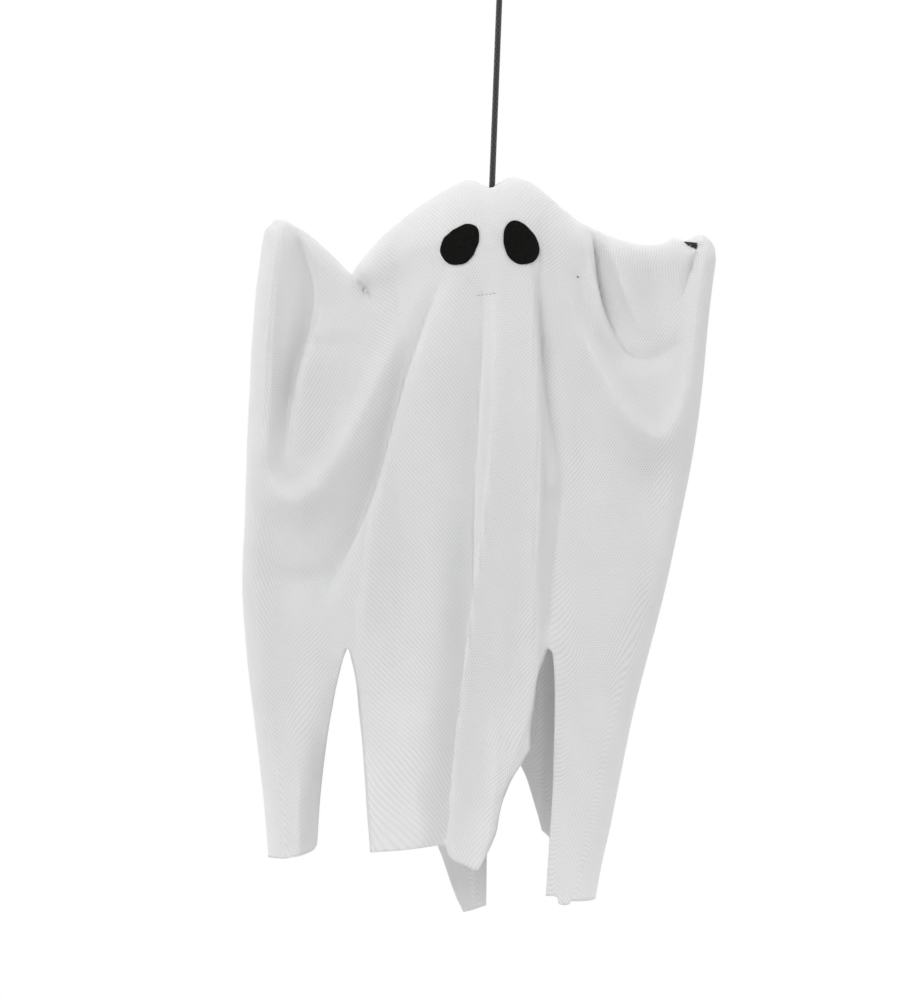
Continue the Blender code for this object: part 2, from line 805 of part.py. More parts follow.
def column_points(layer, panel, column):
    inset, share, side_turn = column
    spans = ((LEFT_TIP[0], PANEL_SPLITS[0]), PANEL_SPLITS, (PANEL_SPLITS[1], RIGHT_TIP[0]))
    top_x = across_panel(panel, (inset, share), *spans[panel])
    top_z = ridge_height(top_x)
    size = round_size(top_x, ARM_ROUND)
    start = top_z - size
    across = 1 - share if panel == 2 else share
    hem_z = HEAD_CENTRE.z - layer["hem_drop"] - smooth_value(layer["hems"][panel], across)
    rows = []
    for i in range(ROUND_ROWS + 1):
        turn = math.pi / 2 * (i / ROUND_ROWS) ** ROUND_CROWDING
        rows.append((top_z - size * (1 - math.cos(turn)), math.sin(turn)))
    rows += [(start + (SLIT_TOP - start) * i / BODY_ROWS, 1.0) for i in range(1, BODY_ROWS + 1)]
    rows += [(SLIT_TOP + (hem_z - SLIT_TOP) * i / STRIP_ROWS, 1.0) for i in range(1, STRIP_ROWS + 1)]
    # Columns near the side follow it from the tip, and the others settle into line lower down.
    settle = 1 if panel == 1 else share
    points = []
    for z, turn in rows:
        below = across_panel(panel, (inset, share), *panel_edges(layer, panel, z))
        x = top_x + (below - top_x) * ease((top_z - z) / max(SETTLE_DROP * settle, 1e-6))
        points.append(sheet_point(layer, x, z, hem_z, turn, side_turn))
    return points


def build_sheet(work):
    for layer in (FRONT, BACK):
        for panel in range(3):
            columns = [column_points(layer, panel, column) for column in panel_columns(panel)]
            grid = [[work.verts.new(point) for point in column] for column in columns]
            for before, after in zip(grid, grid[1:]):
                for i in range(len(before) - 1):
                    corners = (before[i], before[i + 1], after[i + 1], after[i])
                    work.faces.new(corners)
    bmesh.ops.remove_doubles(work, verts=work.verts, dist=MERGE_DISTANCE)
    # Each square is split along its shorter diagonal, which runs with the folds.
    bmesh.ops.triangulate(work, faces=work.faces, quad_method="SHORT_EDGE")
    bmesh.ops.recalc_face_normals(work, faces=work.faces)
    # The normals face out where the back's middle looks away from the viewer.
    farthest = max(work.faces, key=lambda face: face.calc_center_median().y)
    if farthest.normal.y < 0:
        bmesh.ops.reverse_faces(work, faces=work.faces)


def make_sheet():
    sheet = mesh_from("ghost_sheet", build_sheet, CLOTH)
    thicken = sheet.modifiers.new("cloth thickness", "SOLIDIFY")
    thicken.thickness = CLOTH_THICKNESS
    thicken.offset = 0
    thicken.use_even_offset = False
    hole = make_cutter("sheet_hole_cutter", lambda work: rod(work, BORE_RADIUS, HEAD_RADIUS, 12))
    hole.matrix_world = lean_at(along_cord(HEAD_DROP - HEAD_RADIUS))
    cut(sheet, hole)
    return sheet


# Eyes

def make_eye(name, offset, tilt, sheet):
    def build(work):
        rings = []
        for ring in range(1, EYE_RINGS + 1):
            size = ring / EYE_RINGS
            spots = []
            for i in range(EYE_SIDES):
                turn = 2 * math.pi * i / EYE_SIDES
                across = EYE_WIDTH / 2 * math.sin(turn) * (1 - EYE_TAPER * math.cos(turn))
                along = EYE_LENGTH / 2 * math.cos(turn)
                x = across * math.cos(tilt) + along * math.sin(tilt)
                z = along * math.cos(tilt) - across * math.sin(tilt)
                spots.append(work.verts.new((size * x, 0, size * z)))
            rings.append(spots)
        centre = work.verts.new((0, 0, 0))
        for i in range(EYE_SIDES):
            after = (i + 1) % EYE_SIDES
            work.faces.new((centre, rings[0][after], rings[0][i]))
            for inner, outer in zip(rings, rings[1:]):
                work.faces.new((inner[i], inner[after], outer[after], outer[i]))
        bmesh.ops.recalc_face_normals(work, faces=work.faces)
        if next(iter(work.faces)).normal.y > 0:
            bmesh.ops.reverse_faces(work, faces=work.faces)

    eye = mesh_from(name, build, FELT)
    eye.location = (HEAD_X + offset, -3 * HEAD_RADIUS, HEAD_CENTRE.z + EYE_RISE)
    lay_on = eye.modifiers.new("lay on the sheet", "SHRINKWRAP")
    lay_on.target = sheet
    lay_on.wrap_method = "PROJECT"
    lay_on.wrap_mode = "ABOVE_SURFACE"
    lay_on.use_project_y = True
    lay_on.use_negative_direction = False
    lay_on.use_positive_direction = True
    lay_on.offset = CLEARANCE
    thicken = eye.modifiers.new("felt thickness", "SOLIDIFY")
    thicken.thickness = FELT_THICKNESS
    thicken.offset = 1


# Head, washer, knot, cord and crimp

def rod(work, radius, length, sides):
    bmesh.ops.create_cone(
        work, cap_ends=True, segments=sides, radius1=radius, radius2=radius, depth=length
    )


def make_head():
    def ball(work):
        bmesh.ops.create_uvsphere(work, u_segments=24, v_segments=16, radius=HEAD_RADIUS)

    def dimple(work):
        bmesh.ops.create_cone(
            work,
            cap_ends=True,
            segments=24,
            radius1=BORE_RADIUS + CLEARANCE,
            radius2=DIMPLE_DIAMETER / 2,
            depth=DIMPLE_DEPTH,
        )

    head = mesh_from("head_ball", ball, FOAM)
    head.matrix_world = lean_at(HEAD_CENTRE)
    cord_bore = make_cutter(
        "cord_bore_cutter", lambda work: rod(work, BORE_RADIUS, 3 * HEAD_RADIUS, 20)
    )
    cord_bore.matrix_world = lean_at(HEAD_CENTRE)
    recess = make_cutter("dimple_cutter", dimple)
    recess.matrix_world = lean_at(along_cord(HEAD_LINE - HEAD_RADIUS + DIMPLE_DEPTH / 2 - CLEARANCE))
    wire_bore = make_cutter(
        "wire_bore_cutter",
        lambda work: rod(work, WIRE_DIAMETER / 2 + CLEARANCE, 3 * HEAD_RADIUS, 20),
    )
    level = Vector((HEAD_X, WIRE_SETBACK, HEAD_CENTRE.z - WIRE_DROP))
    wire_bore.matrix_world = Matrix.Translation(level) @ Matrix.Rotation(math.pi / 2, 4, "Y")
    for cutter in (recess, cord_bore, wire_bore):
        cut(head, cutter)


def make_washer():
    washer = mesh_from(
        "stop_washer", lambda work: rod(work, WASHER_DIAMETER / 2, WASHER_THICKNESS, 24), PLASTIC
    )
    washer.matrix_world = lean_at(along_cord(WASHER_LINE + WASHER_THICKNESS / 2))
    bore = make_cutter(
        "washer_bore_cutter", lambda work: rod(work, BORE_RADIUS, 3 * WASHER_THICKNESS, 16)
    )
    bore.matrix_world = washer.matrix_world.copy()
    cut(washer, bore)


def make_knot():
    centre = along_cord(WASHER_LINE + WASHER_THICKNESS + CLEARANCE + KNOT_SIZE + CORD_DIAMETER / 2)
    points = []
    for i in range(KNOT_POINTS):
        turn = 2 * math.pi * i / KNOT_POINTS
        spot = Vector(
            (
                math.sin(turn) + 2 * math.sin(2 * turn),
                math.cos(turn) - 2 * math.cos(2 * turn),
                -math.sin(3 * turn),
            )
        )
        points.append(lean_at(centre) @ (spot * KNOT_SIZE))
    tube("stop_knot", points, CORD_DIAMETER, BRAID, sides_per_quarter=1, closed=True)


def cord_route():
    # From the knot straight up to the crimp, round the loop and back down through the crimp.
    tail = CORD_DIAMETER + CLEARANCE
    crimp_end = LOOP_DROP + CRIMP_LENGTH
    wide = LOOP_WIDTH / 2
    run = (WASHER_LINE - LOOP_DROP) / CORD_SPANS
    straight = [(0, WASHER_LINE + WASHER_THICKNESS - run * i) for i in range(CORD_SPANS)]
    loop = [
        (0, LOOP_DROP),
        (-0.35 * wide, 0.78 * LOOP_DROP),
        (-0.85 * wide, 0.50 * LOOP_DROP),
        (-wide, 0.25 * LOOP_DROP),
        (-0.70 * wide, 0.03 * LOOP_DROP),
        (0, -CORD_DIAMETER / 2),
        (0.70 * wide, 0.03 * LOOP_DROP),
        (wide, 0.25 * LOOP_DROP),
        (0.85 * wide + tail / 2, 0.50 * LOOP_DROP),
        (0.35 * wide + tail, 0.78 * LOOP_DROP),
        (tail, LOOP_DROP),
    ]
    end = [(tail, LOOP_DROP + CRIMP_LENGTH / 2), (tail, crimp_end + TAIL_LENGTH)]
    rounds = [tuple(point) for point in smooth_path([straight[-1]] + loop + end[:1], 2)]
    places = straight[:-1] + rounds + end[1:]
    return [along_cord(down, across) for across, down in places]


def make_crimp():
    tail = CORD_DIAMETER + CLEARANCE

    def oval(work, radius, length):
        # An oval round both strands, drawn out along the cord.
        ring = []
        for side, start in ((1, -math.pi / 2), (-1, math.pi / 2)):
            for i in range(9):
                turn = start + math.pi * i / 8
                x = side * tail / 2 + radius * math.cos(turn)
                ring.append(work.verts.new((x, radius * math.sin(turn), -length / 2)))
        base = work.faces.new(ring)
        grown = bmesh.ops.extrude_face_region(work, geom=[base])
        lifted = [item for item in grown["geom"] if isinstance(item, bmesh.types.BMVert)]
        bmesh.ops.translate(work, verts=lifted, vec=(0, 0, length))
        bmesh.ops.recalc_face_normals(work, faces=work.faces)

    crimp = mesh_from(
        "cord_ferrule", lambda work: oval(work, BORE_RADIUS + CRIMP_WALL, CRIMP_LENGTH), ALUMINIUM
    )
    crimp.matrix_world = lean_at(along_cord(LOOP_DROP + CRIMP_LENGTH / 2, tail / 2))
    bore = make_cutter("crimp_bore_cutter", lambda work: oval(work, BORE_RADIUS, 2 * CRIMP_LENGTH))
    bore.matrix_world = crimp.matrix_world.copy()
    cut(crimp, bore)


clear_scene()
PART = new_collection("hanging_ghost")
CUTTERS = new_collection("cutters", hidden=True)
CLOTH = new_material("cloth", (0.80, 0.80, 0.81), 0.9)
FELT = new_material("felt", (0.010, 0.010, 0.009), 0.95)
FOAM = new_material("foam", (0.86, 0.86, 0.85), 0.8)
STEEL = new_material("steel", (0.45, 0.46, 0.48), 0.35, 1.0)
BRAID = new_material("braid", (0.012, 0.012, 0.013), 0.7)
ALUMINIUM = new_material("aluminium", (0.70, 0.71, 0.72), 0.35, 1.0)
PLASTIC = new_material("plastic", (0.75, 0.75, 0.74), 0.5)

WIRE_PARTS = wire_route()
WIRE_LINE = np.concatenate(WIRE_PARTS)
for layer in (FRONT, BACK):
    layer["folds"] = [(smooth_path(fold[0], 5), *fold[1:]) for fold in layer["folds"]]

ghost_sheet = make_sheet()
make_eye("eye_left", LEFT_EYE_OFFSET, LEFT_EYE_TILT, ghost_sheet)
make_eye("eye_right", RIGHT_EYE_OFFSET, RIGHT_EYE_TILT, ghost_sheet)
make_head()
tube("arm_wire", WIRE_LINE, WIRE_DIAMETER, STEEL, sides_per_quarter=1)
tube("hang_cord", cord_route(), CORD_DIAMETER, BRAID)
make_crimp()
make_washer()
make_knot()
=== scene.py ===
import math
import random

import bmesh
import bpy
import numpy as np
from mathutils import Matrix, Vector
from mathutils.bvhtree import BVHTree
from mathutils.kdtree import KDTree


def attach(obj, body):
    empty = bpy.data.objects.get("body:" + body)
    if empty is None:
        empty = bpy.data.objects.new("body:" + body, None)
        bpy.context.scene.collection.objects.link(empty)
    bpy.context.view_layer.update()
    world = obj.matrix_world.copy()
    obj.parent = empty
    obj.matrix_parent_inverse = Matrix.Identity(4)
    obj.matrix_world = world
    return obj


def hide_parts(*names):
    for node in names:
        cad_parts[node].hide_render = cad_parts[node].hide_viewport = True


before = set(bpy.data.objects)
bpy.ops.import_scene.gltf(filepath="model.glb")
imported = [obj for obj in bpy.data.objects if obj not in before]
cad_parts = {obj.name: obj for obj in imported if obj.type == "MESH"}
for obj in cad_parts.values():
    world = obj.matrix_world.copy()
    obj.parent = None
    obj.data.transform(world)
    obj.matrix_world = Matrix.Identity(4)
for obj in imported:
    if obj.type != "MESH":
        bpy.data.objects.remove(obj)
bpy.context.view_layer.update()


# camera, level with the ghost and square on to its face

view = {
    "metresPerPixel": 0.00055,
    "originPixel": (503, -95),  # where the loop's inside top falls in the photograph's pixels
    "centrePixel": (461.5, 500),
    "distance": 4.0,
    "sensor": 36.0,
    "frameHeight": 1000,
}


def pixelToPlace(x, y, depth=0.0):
    # a pixel of the photograph as a point on the plane through the head
    across = (x - view["originPixel"][0]) * view["metresPerPixel"]
    up = (view["originPixel"][1] - y) * view["metresPerPixel"]
    return Vector((across, depth, up))


def makeCamera():
    data = bpy.data.cameras.new("photoCamera")
    data.lens = view["sensor"] * view["distance"] / (view["frameHeight"] * view["metresPerPixel"])
    data.sensor_width = view["sensor"]
    data.clip_end = 30
    camera = bpy.data.objects.new("photoCamera", data)
    bpy.context.scene.collection.objects.link(camera)
    camera.location = pixelToPlace(*view["centrePixel"], -view["distance"])
    camera.rotation_euler = (math.pi / 2, 0, 0)
    bpy.context.scene.camera = camera


makeCamera()
print("camera placed")


# materials

def setInputs(node, values):
    for name, value in values.items():
        node.inputs[name].default_value = value


def startMaterial(name, colour, roughness, metallic=0.0):
    material = bpy.data.materials.new(name)
    material.use_nodes = True
    shader = material.node_tree.nodes["Principled BSDF"]
    setInputs(shader, {"Base Color": (*colour, 1), "Roughness": roughness, "Metallic": metallic})
    return material, material.node_tree, shader


def addNode(tree, kind, inputs=None, **settings):
    node = tree.nodes.new(kind)
    for key, value in settings.items():
        setattr(node, key, value)
    for key, value in (inputs or {}).items():
        if isinstance(value, bpy.types.NodeSocket):
            tree.links.new(value, node.inputs[key])
        else:
            node.inputs[key].default_value = value
    return node


def addMath(tree, operation, first, second=0.0):
    return addNode(tree, "ShaderNodeMath", {0: first, 1: second}, operation=operation).outputs[0]


def addWave(tree, operation, value, pitch):
    return addMath(tree, operation, addMath(tree, "MULTIPLY", value, math.tau / pitch))


def addNoise(tree, place, scale, detail, **inputs):
    inputs = {"Vector": place, "Scale": scale, "Detail": detail, **inputs}
    return addNode(tree, "ShaderNodeTexNoise", inputs)


def addRange(tree, value, low, high, outLow=0.0, outHigh=1.0):
    inputs = {"Value": value, "From Min": low, "From Max": high, "To Min": outLow, "To Max": outHigh}
    node = addNode(tree, "ShaderNodeMapRange", inputs, interpolation_type="SMOOTHSTEP")
    return node.outputs["Result"]


def addMix(tree, share, first, second):
    # sockets 6 and 7 of this node are its two colours
    node = addNode(tree, "ShaderNodeMix", {"Factor": share}, data_type="RGBA")
    for place, value in ((6, first), (7, second)):
        if isinstance(value, bpy.types.NodeSocket):
            tree.links.new(value, node.inputs[place])
        else:
            node.inputs[place].default_value = (*value, 1)
    return node.outputs[2]


def addBump(tree, shader, height, strength, distance):
    inputs = {"Height": height, "Strength": strength, "Distance": distance}
    bump = addNode(tree, "ShaderNodeBump", inputs)
    tree.links.new(bump.outputs["Normal"], shader.inputs["Normal"])


meshCloth = {
    "colour": (0.78, 0.78, 0.785),
    "paintedHoleShade": (0.60, 0.60, 0.61),
    "pitchAcross": 0.00165,
    "pitchDown": 0.00280,
    "holeRange": (0.1, 1.0),
    "twistPitch": 0.0006,
    "twistShare": 0.12,
    "wanderScale": 60.0,
    "wander": 0.0002,
    "cloudScale": 26.0,
    "roughness": 0.85,
    "sheen": 0.35,
    "through": 0.6,  # share of the light that goes into the cloth, and how far
    "throughDepth": 0.0035,
    "relief": 0.0003,
}


def makeClothMaterial(look):
    # open warp knit: rows of small holes, staggered, between raised chains of thread
    material, tree, shader = startMaterial("meshCloth", look["colour"], look["roughness"])
    uv = addNode(tree, "ShaderNodeUVMap", uv_map="weave").outputs["UV"]
    wander = addNoise(tree, uv, look["wanderScale"], 0.0)
    nudge = {0: wander.outputs["Color"], 1: (look["wander"],) * 3}
    nudge = addNode(tree, "ShaderNodeVectorMath", nudge, operation="MULTIPLY")
    moved = addNode(tree, "ShaderNodeVectorMath", {0: uv, 1: nudge.outputs[0]}, operation="ADD")
    split = addNode(tree, "ShaderNodeSeparateXYZ", {0: moved.outputs[0]})
    across = addWave(tree, "COSINE", split.outputs["X"], look["pitchAcross"])
    down = addWave(tree, "COSINE", split.outputs["Y"], look["pitchDown"])
    hole = addRange(tree, addMath(tree, "MULTIPLY", across, down), *look["holeRange"])
    twist = addWave(tree, "SINE", split.outputs["Y"], look["twistPitch"])
    height = addMath(tree, "SUBTRACT", addMath(tree, "MULTIPLY", twist, look["twistShare"]), hole)
    # the holes are painted darker than the threads: painted shade for the cloth's shaded inside seen
    # through them, a little patchy at random
    cloud = addNoise(tree, uv, look["cloudScale"], 4.0)
    patchy = addRange(tree, cloud.outputs["Fac"], 0.3, 0.7, 0.55, 1.0)
    tint = addMix(tree, addMath(tree, "MULTIPLY", hole, patchy), look["colour"], look["paintedHoleShade"])
    tree.links.new(tint, shader.inputs["Base Color"])
    setInputs(shader, {"Sheen Weight": look["sheen"], "Sheen Roughness": 0.5, "Specular IOR Level": 0.2})
    setInputs(shader, {"Subsurface Weight": look["through"], "Subsurface Scale": look["throughDepth"]})
    setInputs(shader, {"Subsurface Radius": (1, 1, 1)})
    addBump(tree, shader, height, 0.45, look["relief"])
    return material


def makeFeltMaterial():
    material, tree, shader = startMaterial("blackFelt", (0.008, 0.008, 0.0075), 0.95)
    place = addNode(tree, "ShaderNodeTexCoord").outputs["Object"]
    fibres = addNoise(tree, place, 900.0, 6.0, Roughness=0.7)
    clumps = addNoise(tree, place, 220.0, 3.0, Distortion=1.5)
    mottle = addRange(tree, fibres.outputs["Fac"], 0.35, 0.75)
    tint = addMix(tree, mottle, (0.0025, 0.0025, 0.0023), (0.0085, 0.0083, 0.0076))
    tree.links.new(tint, shader.inputs["Base Color"])
    setInputs(shader, {"Specular IOR Level": 0.1, "Sheen Weight": 0.02})
    addBump(tree, shader, addMath(tree, "ADD", fibres.outputs["Fac"], clumps.outputs["Fac"]), 0.7, 0.0004)
    return material


def makeBraidMaterial(strands, pitch):
    # two families of strands that cross, read from the tube's own map: around it and along it
    material, tree, shader = startMaterial("blackBraid", (0.012, 0.012, 0.013), 0.5)
    uv = addNode(tree, "ShaderNodeUVMap", uv_map="along").outputs["UV"]
    split = addNode(tree, "ShaderNodeSeparateXYZ", {0: uv})
    around = addMath(tree, "MULTIPLY", split.outputs["X"], math.tau * strands)
    along = addMath(tree, "MULTIPLY", split.outputs["Y"], math.tau / pitch)
    rising = addMath(tree, "SINE", addMath(tree, "ADD", around, along))
    falling = addMath(tree, "SINE", addMath(tree, "SUBTRACT", around, along))
    height = addMath(tree, "MAXIMUM", rising, falling)
    # painted highlights: random specks lightened where the strands stand highest, in place of glints off
    # the braid
    glintSpots = addRange(tree, addNoise(tree, uv, 2600.0, 2.0).outputs["Fac"], 0.56, 0.70)
    paintedGlint = addMath(tree, "MULTIPLY", glintSpots, addRange(tree, height, 0.3, 1.0))
    tint = addMix(tree, paintedGlint, (0.009, 0.009, 0.010), (0.085, 0.085, 0.09))
    tree.links.new(tint, shader.inputs["Base Color"])
    setInputs(shader, {"Sheen Weight": 0.2})
    addBump(tree, shader, height, 0.8, 0.0004)
    return material


def makeFoamMaterial():
    material, tree, shader = startMaterial("whiteFoam", (0.82, 0.82, 0.81), 0.75)
    place = addNode(tree, "ShaderNodeTexCoord").outputs["Object"]
    cells = {"Vector": place, "Scale": 300.0}
    beads = addNode(tree, "ShaderNodeTexVoronoi", cells, feature="DISTANCE_TO_EDGE")
    joint = addRange(tree, beads.outputs["Distance"], 0.0, 0.12)
    tree.links.new(addMix(tree, joint, (0.62, 0.62, 0.61), (0.84, 0.84, 0.83)), shader.inputs["Base Color"])
    addBump(tree, shader, joint, 0.5, 0.0004)
    return material


def makeWireMaterial(name, colour, roughness):
    material, tree, shader = startMaterial(name, colour, roughness, 1.0)
    place = addNode(tree, "ShaderNodeTexCoord").outputs["Object"]
    scratches = addNoise(tree, place, 500.0, 5.0)
    dull = addRange(tree, scratches.outputs["Fac"], 0.3, 0.7, roughness - 0.1, roughness + 0.15)
    tree.links.new(dull, shader.inputs["Roughness"])
    dark = tuple(value * 0.7 for value in colour)
    tree.links.new(addMix(tree, scratches.outputs["Fac"], dark, colour), shader.inputs["Base Color"])
    addBump(tree, shader, scratches.outputs["Fac"], 0.15, 0.0002)
    return material


def makePlainMaterial(name, colour, roughness, grain):
    material, tree, shader = startMaterial(name, colour, roughness)
    place = addNode(tree, "ShaderNodeTexCoord").outputs["Object"]
    noise = addNoise(tree, place, grain, 4.0)
    dark = tuple(value * 0.8 for value in colour)
    tree.links.new(addMix(tree, noise.outputs["Fac"], dark, colour), shader.inputs["Base Color"])
    addBump(tree, shader, noise.outputs["Fac"], 0.25, 0.0002)
    return material


clothMaterial = makeClothMaterial(meshCloth)
feltMaterial = makeFeltMaterial()
braidMaterial = makeBraidMaterial(6, 0.0034)
foamMaterial = makeFoamMaterial()
wireMaterial = makeWireMaterial("galvanisedWire", (0.48, 0.49, 0.50), 0.42)
crimpMaterial = makeWireMaterial("crimpAluminium", (0.72, 0.72, 0.73), 0.35)
washerMaterial = makePlainMaterial("washerPlastic", (0.72, 0.72, 0.71), 0.5, 900.0)
stitchMaterial = makePlainMaterial("greyThread", (0.22, 0.22, 0.23), 0.8, 2500.0)
lintMaterial = makePlainMaterial("darkLint", (0.03, 0.03, 0.03), 0.9, 2500.0)
print("materials ready")


# curves used by several pieces

def throughPoints(points, places):
    # values at the given places on a smooth curve through (place, value) points
    points = np.array(points, float)
    places = np.clip(places, points[0, 0], points[-1, 0])
    before = np.concatenate([points[:1], points[:-1]])
    after = np.concatenate([points[1:], points[-1:]])
    slopes = (after[:, 1] - before[:, 1]) / (after[:, 0] - before[:, 0])
    i = np.clip(np.searchsorted(points[:, 0], places) - 1, 0, len(points) - 2)
    step = points[i + 1, 0] - points[i, 0]
    t = (places - points[i, 0]) / step
    return (
        points[i, 1] * (1 + 2 * t) * (1 - t) ** 2
        + slopes[i] * step * t * (1 - t) ** 2
        + points[i + 1, 1] * t * t * (3 - 2 * t)
        + slopes[i + 1] * step * t * t * (t - 1)
    )


def smoothLine(points, perSpan):
    # points on a smooth curve through the given ones
    points = np.array(points, float)
    padded = np.concatenate([[2 * points[0] - points[1]], points, [2 * points[-1] - points[-2]]])
    found = []
    for i in range(len(points) - 1):
        a, b, c, d = padded[i : i + 4]
        for t in np.arange(perSpan) / perSpan:
            bend = t * t * (a - 2.5 * b + 2 * c - 0.5 * d) + 0.5 * t**3 * (3 * b - a - 3 * c + d)
            found.append(b + 0.5 * t * (c - a) + bend)
    found.append(points[-1])
    return np.array(found)


def ease(t):
    t = np.clip(t, 0, 1)
    return t * t * (3 - 2 * t)


def linkMesh(name, mesh, material):
    mesh.materials.append(material)
    obj = bpy.data.objects.new(name, mesh)
    bpy.context.scene.collection.objects.link(obj)
    return obj


def tubeMesh(name, points, radius, sides, material, closed=False, relief=None):
    # a tube along points, with a map of how far round (0 to 1) and how far along (metres)
    points = [Vector(point) for point in points]
    count = len(points)
    work = bmesh.new()
    uvLayer = work.loops.layers.uv.new("along")
    rings, lengths = [], []
    travelled = 0.0
    tangents = []
    for i in range(count):
        if closed:
            tangent = points[(i + 1) % count] - points[i - 1]
        else:
            tangent = points[min(i + 1, count - 1)] - points[max(i - 1, 0)]
        tangents.append(tangent.normalized())
    normal = tangents[0].orthogonal().normalized()
    frames = []
    for i in range(count):
        normal = (normal - tangents[i] * normal.dot(tangents[i])).normalized()
        frames.append(normal.copy())
    turnBack = 0.0
    if closed:
        last = (frames[-1] - tangents[0] * frames[-1].dot(tangents[0])).normalized()
        turnBack = math.atan2(tangents[0].dot(last.cross(frames[0])), last.dot(frames[0]))
    for i in range(count):
        if i:
            travelled += (points[i] - points[i - 1]).length
        frameNormal = Matrix.Rotation(turnBack * i / count, 3, tangents[i]) @ frames[i]
        side = tangents[i].cross(frameNormal)
        ring = []
        for j in range(sides):
            turn = math.tau * j / sides
            size = radius * (relief(j / sides, travelled) if relief else 1.0)
            outward = frameNormal * math.cos(turn) + side * math.sin(turn)
            ring.append(work.verts.new(points[i] + outward * size))
        rings.append(ring)
        lengths.append(travelled)
    spans = count if closed else count - 1
    closing = travelled + (points[0] - points[-1]).length
    for i in range(spans):
        k = (i + 1) % count
        far = lengths[k] if k else closing
        for j in range(sides):
            m = (j + 1) % sides
            face = work.faces.new((rings[i][j], rings[i][m], rings[k][m], rings[k][j]))
            places = ((j, lengths[i]), (j + 1, lengths[i]), (j + 1, far), (j, far))
            for loop, (around, along) in zip(face.loops, places):
                loop[uvLayer].uv = (around / sides, along)
            face.smooth = True
    if not closed:
        for ring, along in ((rings[0], 0.0), (rings[-1][::-1], travelled)):
            face = work.faces.new(ring[::-1])
            for loop in face.loops:
                loop[uvLayer].uv = (0.5, along)
    bmesh.ops.recalc_face_normals(work, faces=work.faces)
    mesh = bpy.data.meshes.new(name)
    work.to_mesh(mesh)
    work.free()
    return linkMesh(name, mesh, material)


# cord: from the knot under the ball straight up to the crimp, round the loop and back into it

cordLook = {
    "diameter": 0.0033,
    "lean": math.radians(2.23),
    "headDrop": 0.1898,
    "headRadius": 0.036,
    "clearance": 0.0003,
    "washerThickness": 0.0012,
    "loopWidth": 0.018,
    "loopDrop": 0.036,
    "crimpLength": 0.010,
    "tailLength": 0.003,
    "knotSize": 0.0021,
    "straightPoints": 16,
    "knotPoints": 120,
    "spanPoints": 8,
    "sides": 16,
}


def alongCord(down, across=0.0, toward=0.0):
    # a place on the cord's line, that far below the loop's inside top
    lean = cordLook["lean"]
    up = Vector((math.sin(lean), 0, math.cos(lean)))
    side = Vector((math.cos(lean), 0, -math.sin(lean)))
    return side * across - up * down + Vector((0, toward, 0))


def cordRoute(look, washerLine):
    tail = look["diameter"] + look["clearance"]
    wide = look["loopWidth"] / 2
    drop = look["loopDrop"]
    low = washerLine + look["washerThickness"]
    count = look["straightPoints"]
    straight = [(0, low - (low - drop) * i / count) for i in range(count)]
    loop = [
        (0, drop), (-0.35 * wide, 0.78 * drop), (-0.85 * wide, 0.50 * drop), (-wide, 0.25 * drop),
        (-0.70 * wide, 0.03 * drop), (0, -look["diameter"] / 2), (0.70 * wide, 0.03 * drop),
        (wide, 0.25 * drop), (0.85 * wide + tail / 2, 0.50 * drop), (0.35 * wide + tail, 0.78 * drop),
        (tail, drop), (tail, drop + look["crimpLength"] / 2),
    ]
    end = (tail, drop + look["crimpLength"] + look["tailLength"])
    return [alongCord(down, across) for across, down in straight + loop + [end]]


def makeCord(look):
    bore = look["diameter"] / 2 + look["clearance"]
    headLine = look["headDrop"] / math.cos(look["lean"])
    washerLine = headLine + math.sqrt(look["headRadius"] ** 2 - bore**2) + look["clearance"]
    route = cordRoute(look, washerLine)
    line = smoothLine(route, look["spanPoints"])
    cord = tubeMesh("hangCord", line, look["diameter"] / 2, look["sides"], braidMaterial)
    length = sum((b - a).length for a, b in zip(map(Vector, line), map(Vector, line[1:])))

    centre = washerLine + look["washerThickness"] + look["clearance"]
    centre += look["knotSize"] + look["diameter"] / 2
    knotLine = []
    for i in range(look["knotPoints"]):
        turn = math.tau * i / look["knotPoints"]
        spot = Vector((
            math.sin(turn) + 2 * math.sin(2 * turn),
            math.cos(turn) - 2 * math.cos(2 * turn),
            -math.sin(3 * turn),
        )) * look["knotSize"]
        knotLine.append(alongCord(centre) + Matrix.Rotation(look["lean"], 3, "Y") @ spot)
    knot = tubeMesh("stopKnot", knotLine, look["diameter"] / 2, look["sides"], braidMaterial, closed=True)
    return cord, knot, route, length


hangCord, stopKnot, cordPath, cordLength = makeCord(cordLook)
print("cord made, %.3f m" % cordLength)


headPlace = Vector((-cordLook["headDrop"] * math.tan(cordLook["lean"]), 0, -cordLook["headDrop"]))
cordTop = alongCord((cordLook["headDrop"] - cordLook["headRadius"]) / math.cos(cordLook["lean"]))


# shop work shared by the hard pieces

def deselectAll():
    bpy.ops.object.select_all(action="DESELECT")


def activate(obj):
    deselectAll()
    obj.select_set(True)
    bpy.context.view_layer.objects.active = obj


def takeObject(name, material):
    # the object that an operator has just added
    obj = bpy.context.object
    obj.name = obj.data.name = name
    obj.data.materials.append(material)
    return obj


def settle(obj):
    # the place and turn go into the mesh
    activate(obj)
    bpy.ops.object.transform_apply(location=True, rotation=True, scale=True)


def applyModifier(obj, kind, **settings):
    modifier = obj.modifiers.new(kind.lower(), kind)
    for key, value in settings.items():
        setattr(modifier, key, value)
    activate(obj)
    bpy.ops.object.modifier_apply(modifier=modifier.name)


def cutWith(obj, tool):
    applyModifier(obj, "BOOLEAN", object=tool, operation="DIFFERENCE", solver="EXACT")
    bpy.data.objects.remove(tool, do_unlink=True)


def boreThrough(obj, radius, length, sides, place, turn):
    deselectAll()
    bpy.ops.mesh.primitive_cylinder_add(
        vertices=sides, radius=radius, depth=length, location=place, rotation=turn
    )
    cutWith(obj, bpy.context.object)


def smoothShade(obj, degrees):
    activate(obj)
    bpy.ops.object.shade_smooth_by_angle(angle=math.radians(degrees))


def enterEdit(obj):
    activate(obj)
    bpy.ops.object.mode_set(mode="EDIT")


